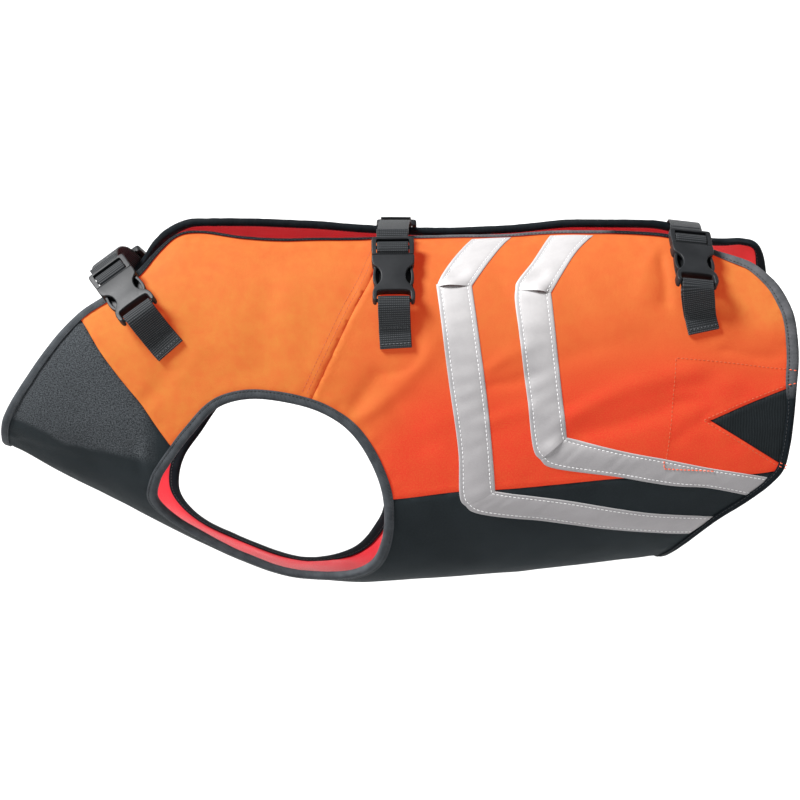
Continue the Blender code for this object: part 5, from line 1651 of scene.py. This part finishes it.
def carved(name, start, steps):
    """The start body with each (operation, body) applied as an exact Boolean, as points (u, v, n) and faces."""
    holder = bpy.data.objects.new(name, part_mesh(name, *start))
    bpy.context.scene.collection.objects.link(holder)
    made = [holder]
    for i, (operation, body) in enumerate(steps):
        tool = bpy.data.objects.new(name + "_tool_%d" % i, part_mesh(name, *body))
        bpy.context.scene.collection.objects.link(tool)
        made.append(tool)
        cut = holder.modifiers.new("step_%d" % i, "BOOLEAN")
        cut.operation, cut.object, cut.solver = operation, tool, "EXACT"
    bpy.context.view_layer.update()
    mesh = bpy.data.meshes.new_from_object(holder.evaluated_get(bpy.context.evaluated_depsgraph_get()))
    bm = bmesh.new()
    bm.from_mesh(mesh)
    bmesh.ops.remove_doubles(bm, verts=bm.verts[:], dist=1e-4)
    bmesh.ops.triangulate(bm, faces=[f for f in bm.faces if len(f.verts) > 4])
    bmesh.ops.recalc_face_normals(bm, faces=bm.faces[:])
    points = np.array([v.co[:] for v in bm.verts])
    faces = [tuple(v.index for v in f.verts) for f in bm.faces]
    bm.free()
    for thing in made:
        bpy.data.objects.remove(thing, do_unlink=True)
    return points, faces


FEMALE = carved(
    "housing", slab(whole_outline(HOUSING), 0.0, PLATE, 0.85),
    [
        ("DIFFERENCE", box_part((1.2, 16.0), (-15.2, 15.2), (1.9, 6.5))),
        ("DIFFERENCE", box_part((-16.4, 2.0), (-18.0, 18.0), (1.9, 6.5))),
        ("UNION", slab(whole_outline(BACK_PLATE), 0.05, 1.6, 0.4)),
        ("UNION", rod_part(BAR_U, BAR_N, 1.5, 1.5, 14.2)),
    ],
)
MALE = carved(
    "base", slab(whole_outline(BASE), 1.2, 7.8, 0.8),
    [
        ("DIFFERENCE", slab(whole_outline(WINDOW), -3.0, 11.0, 0.3)),
        ("DIFFERENCE", box_part((14.6, 33.0), (-13.6, 13.6), (-3.0, 2.6))),
        ("UNION", rod_part(21.3, 4.1, 1.6, 1.4, 14.2)),
        ("UNION", slab(ARM, 2.3, 6.1, 0.5)),
        ("UNION", slab([(u, -v) for u, v in ARM], 2.3, 6.1, 0.5)),
    ],
)


def buckle_part(name, body, frame_here, node_name):
    origin, way, cross, out = frame_here
    if np.cross(way, cross) @ out < 0:
        cross = -cross
    points, faces = body
    placed = origin + points[:, :1] * way + points[:, 1:2] * cross + points[:, 2:] * out
    thing = new_mesh(name, placed, faces, LOOKS["buckle_plastic"], None, 38)
    correct_normals(thing)
    settle(thing, [node_name])


for (name, which), frame_here in BUCKLE_FRAMES.items():
    buckle_part("housing_%s_%s" % (name, which), FEMALE, frame_here, "buckle_female_%s_%s" % (name, which))
    buckle_part("ladder_%s_%s" % (name, which), MALE, frame_here, "buckle_male_%s_%s" % (name, which))


# ---------------------------------------------------------------- seam stitching
def along_seam(line, by, start=0.0, stop=1.0, lift=0.02):
    """A run beside a seam, moved by this far towards +x, on the finished cloth."""
    n = len(line)
    part = line[int(start * n): int(math.ceil(stop * n))]
    places = inset(part, by, 1.0, closed=False)
    keep = inside(flat(places), flat(OUTER.at(OUTER.width + 1.0)))
    for arm in (ARM_LEFT, ARM_RIGHT):
        keep &= ~inside(flat(places), flat(arm.at(arm.width + 1.0)))
    places = places[keep]
    return on_cloth_run(places, lift)


def on_cloth_run(places, lift=0.02):
    """The run's points on the finished outer cloth, with its normals."""
    height = []
    for p in flat(places):
        gap = ((CLOTH.points - p) ** 2).sum(1)
        near = np.argpartition(gap, 4)[:4]
        weight = 1 / (gap[near] + 0.05)
        height.append((CLOTH.height[near] * weight).sum() / weight.sum())
    height = np.array(height)
    return surface(places[:, 0], places[:, 1], height + lift), slopes(places[:, 0], places[:, 1])[2]


orange_runs = []
for sign in (-1, 1):
    for by in (5.2, 9.0):
        way = 1.0 if sign < 0 else -1.0
        run = along_seam(SEAMS["shoulder"][sign], way * by)
        orange_runs.append(run)
settle(stitches("shoulder_stitches", orange_runs, "thread_orange", 2.2, 3.0, 0.42, 0.16))

# the patch that backs the elastic is sewn on through the flank, over the lower tape and through the binding
PATCH_ROWS = (
    # what it lies on, lift, places (x, g)
    ("cloth", 0.05, ((213.6, 128.6), (215.1, 141.4), (217.5, 170.3), (220.4, 233.7))),
    ("cloth", 0.05, ((220.4, 233.7), (255.0, 231.4), (290.3, 228.1), (308.6, 227.3))),
    ("cloth", 0.05, ((305.8, 207.0), (242.8, 167.4))),
    ("cloth", 0.05, ((242.8, 167.4), (301.5, 120.4))),
    ("band", 1.55, ((309.5, 227.2), (316.6, 226.2))),
    ("band", 1.55, ((308.9, 209.4), (316.4, 212.0))),
    ("band", 1.55, ((303.0, 120.2), (310.6, 116.2))),
    ("band", 1.55, ((303.6, 123.4), (311.4, 119.2))),
    ("tape", 0.95, ((212.0, 128.6), (212.4, 121.2), (232.0, 119.0), (252.2, 116.9))),
)
patch_runs, band_runs = [], []
for kind, lift, knots in PATCH_ROWS:
    line = []
    for a, b in zip(knots[:-1], knots[1:]):
        line += [np.array(a) + (np.array(b) - a) * u for u in np.arange(0, 1, 0.1)]
    line = np.array(line + [np.array(knots[-1], float)])
    for sign in (-1, 1):
        places = unflat(line * [1, sign])
        run = on_cloth_run(places, lift)
        (patch_runs if kind == "cloth" else band_runs).append(run)
settle(stitches("patch_stitches", patch_runs, "thread_orange", 2.3, 3.4, 0.55, 0.24))
settle(stitches("patch_end_stitches", band_runs, "thread_bright", 2.4, 3.0, 0.85, 0.42))


# ---------------------------------------------------------------- floor, light and camera
def stage():
    # a floor that curves up into a wall behind
    low, far, half, bend = -640.0, 4200.0, 9000.0, 900.0
    profile = [(-9000.0, low), (far - bend, low)]
    profile += [(far - bend + bend * math.sin(a), low + bend - bend * math.cos(a)) for a in np.linspace(0.1, math.pi / 2, 14)]
    profile += [(far, 6000.0)]
    points = [(x, y, z) for x in (-half, half) for y, z in profile]
    n = len(profile)
    floor = new_mesh("floor", points, [(i, i + n, i + n + 1, i + 1) for i in range(n - 1)], None)
    material, tree, out = shader("floor")
    where = place_of(tree)
    up = node(tree, "ShaderNodeSeparateXYZ", {"Vector": node(tree, "ShaderNodeNewGeometry").outputs["Normal"]}).outputs["Z"]
    ground = blend(tree, noise(tree, where, 3.0, 2.0), (0.53, 0.53, 0.53), (0.55, 0.55, 0.55))
    tree.links.new(blend(tree, span(tree, up, 0.0, 1.0), (0.90, 0.90, 0.90), ground), out.inputs["Base Color"])
    out.inputs["Roughness"].default_value = 0.9
    out.inputs["Specular IOR Level"].default_value = 0.1
    floor.data.materials.clear()
    floor.data.materials.append(material)
    floor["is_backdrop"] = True

    world = bpy.data.worlds.new("studio")
    world.use_nodes = True
    back = world.node_tree.nodes["Background"]
    back.inputs["Color"].default_value = (1.0, 1.0, 1.0, 1.0)
    back.inputs["Strength"].default_value = WORLD
    bpy.context.scene.world = world

    for name, way, strength, spread in LIGHTS:
        lamp = bpy.data.lights.new(name, "SUN")
        lamp.energy = strength
        lamp.angle = math.radians(spread)
        holder = bpy.data.objects.new(name, lamp)
        bpy.context.scene.collection.objects.link(holder)
        holder.rotation_euler = (-Vector(way)).to_track_quat("-Z", "Y").to_euler()

    camera = bpy.data.cameras.new("camera")
    camera.sensor_fit = "HORIZONTAL"
    camera.sensor_width = 36.0
    camera.lens = 113.94
    camera.clip_start, camera.clip_end = 0.05, 60.0
    eye = bpy.data.objects.new("camera", camera)
    bpy.context.scene.collection.objects.link(eye)
    eye.location = (0.0041, -2.0736, 0.0219)
    aim = Vector((0.0041, 0.0, -0.1413)) - eye.location
    eye.rotation_euler = aim.to_track_quat("-Z", "Y").to_euler()
    bpy.context.scene.camera = eye
    bpy.context.scene.view_settings.view_transform = "Standard"
    bpy.context.scene.view_settings.look = "None"
    bpy.context.scene.view_settings.exposure = 0.0


WORLD = 0.20
LIGHTS = (
    # name, where it comes from, strength, how wide it is in degrees
    ("key", (-0.60, -0.34, 0.72), 8.0, 20.0),
)
stage()

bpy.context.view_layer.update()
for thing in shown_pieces():
    if thing.type == "MESH":
        thing.data.calc_loop_triangles()
        print("triangles", thing.name, len(thing.data.loop_triangles))
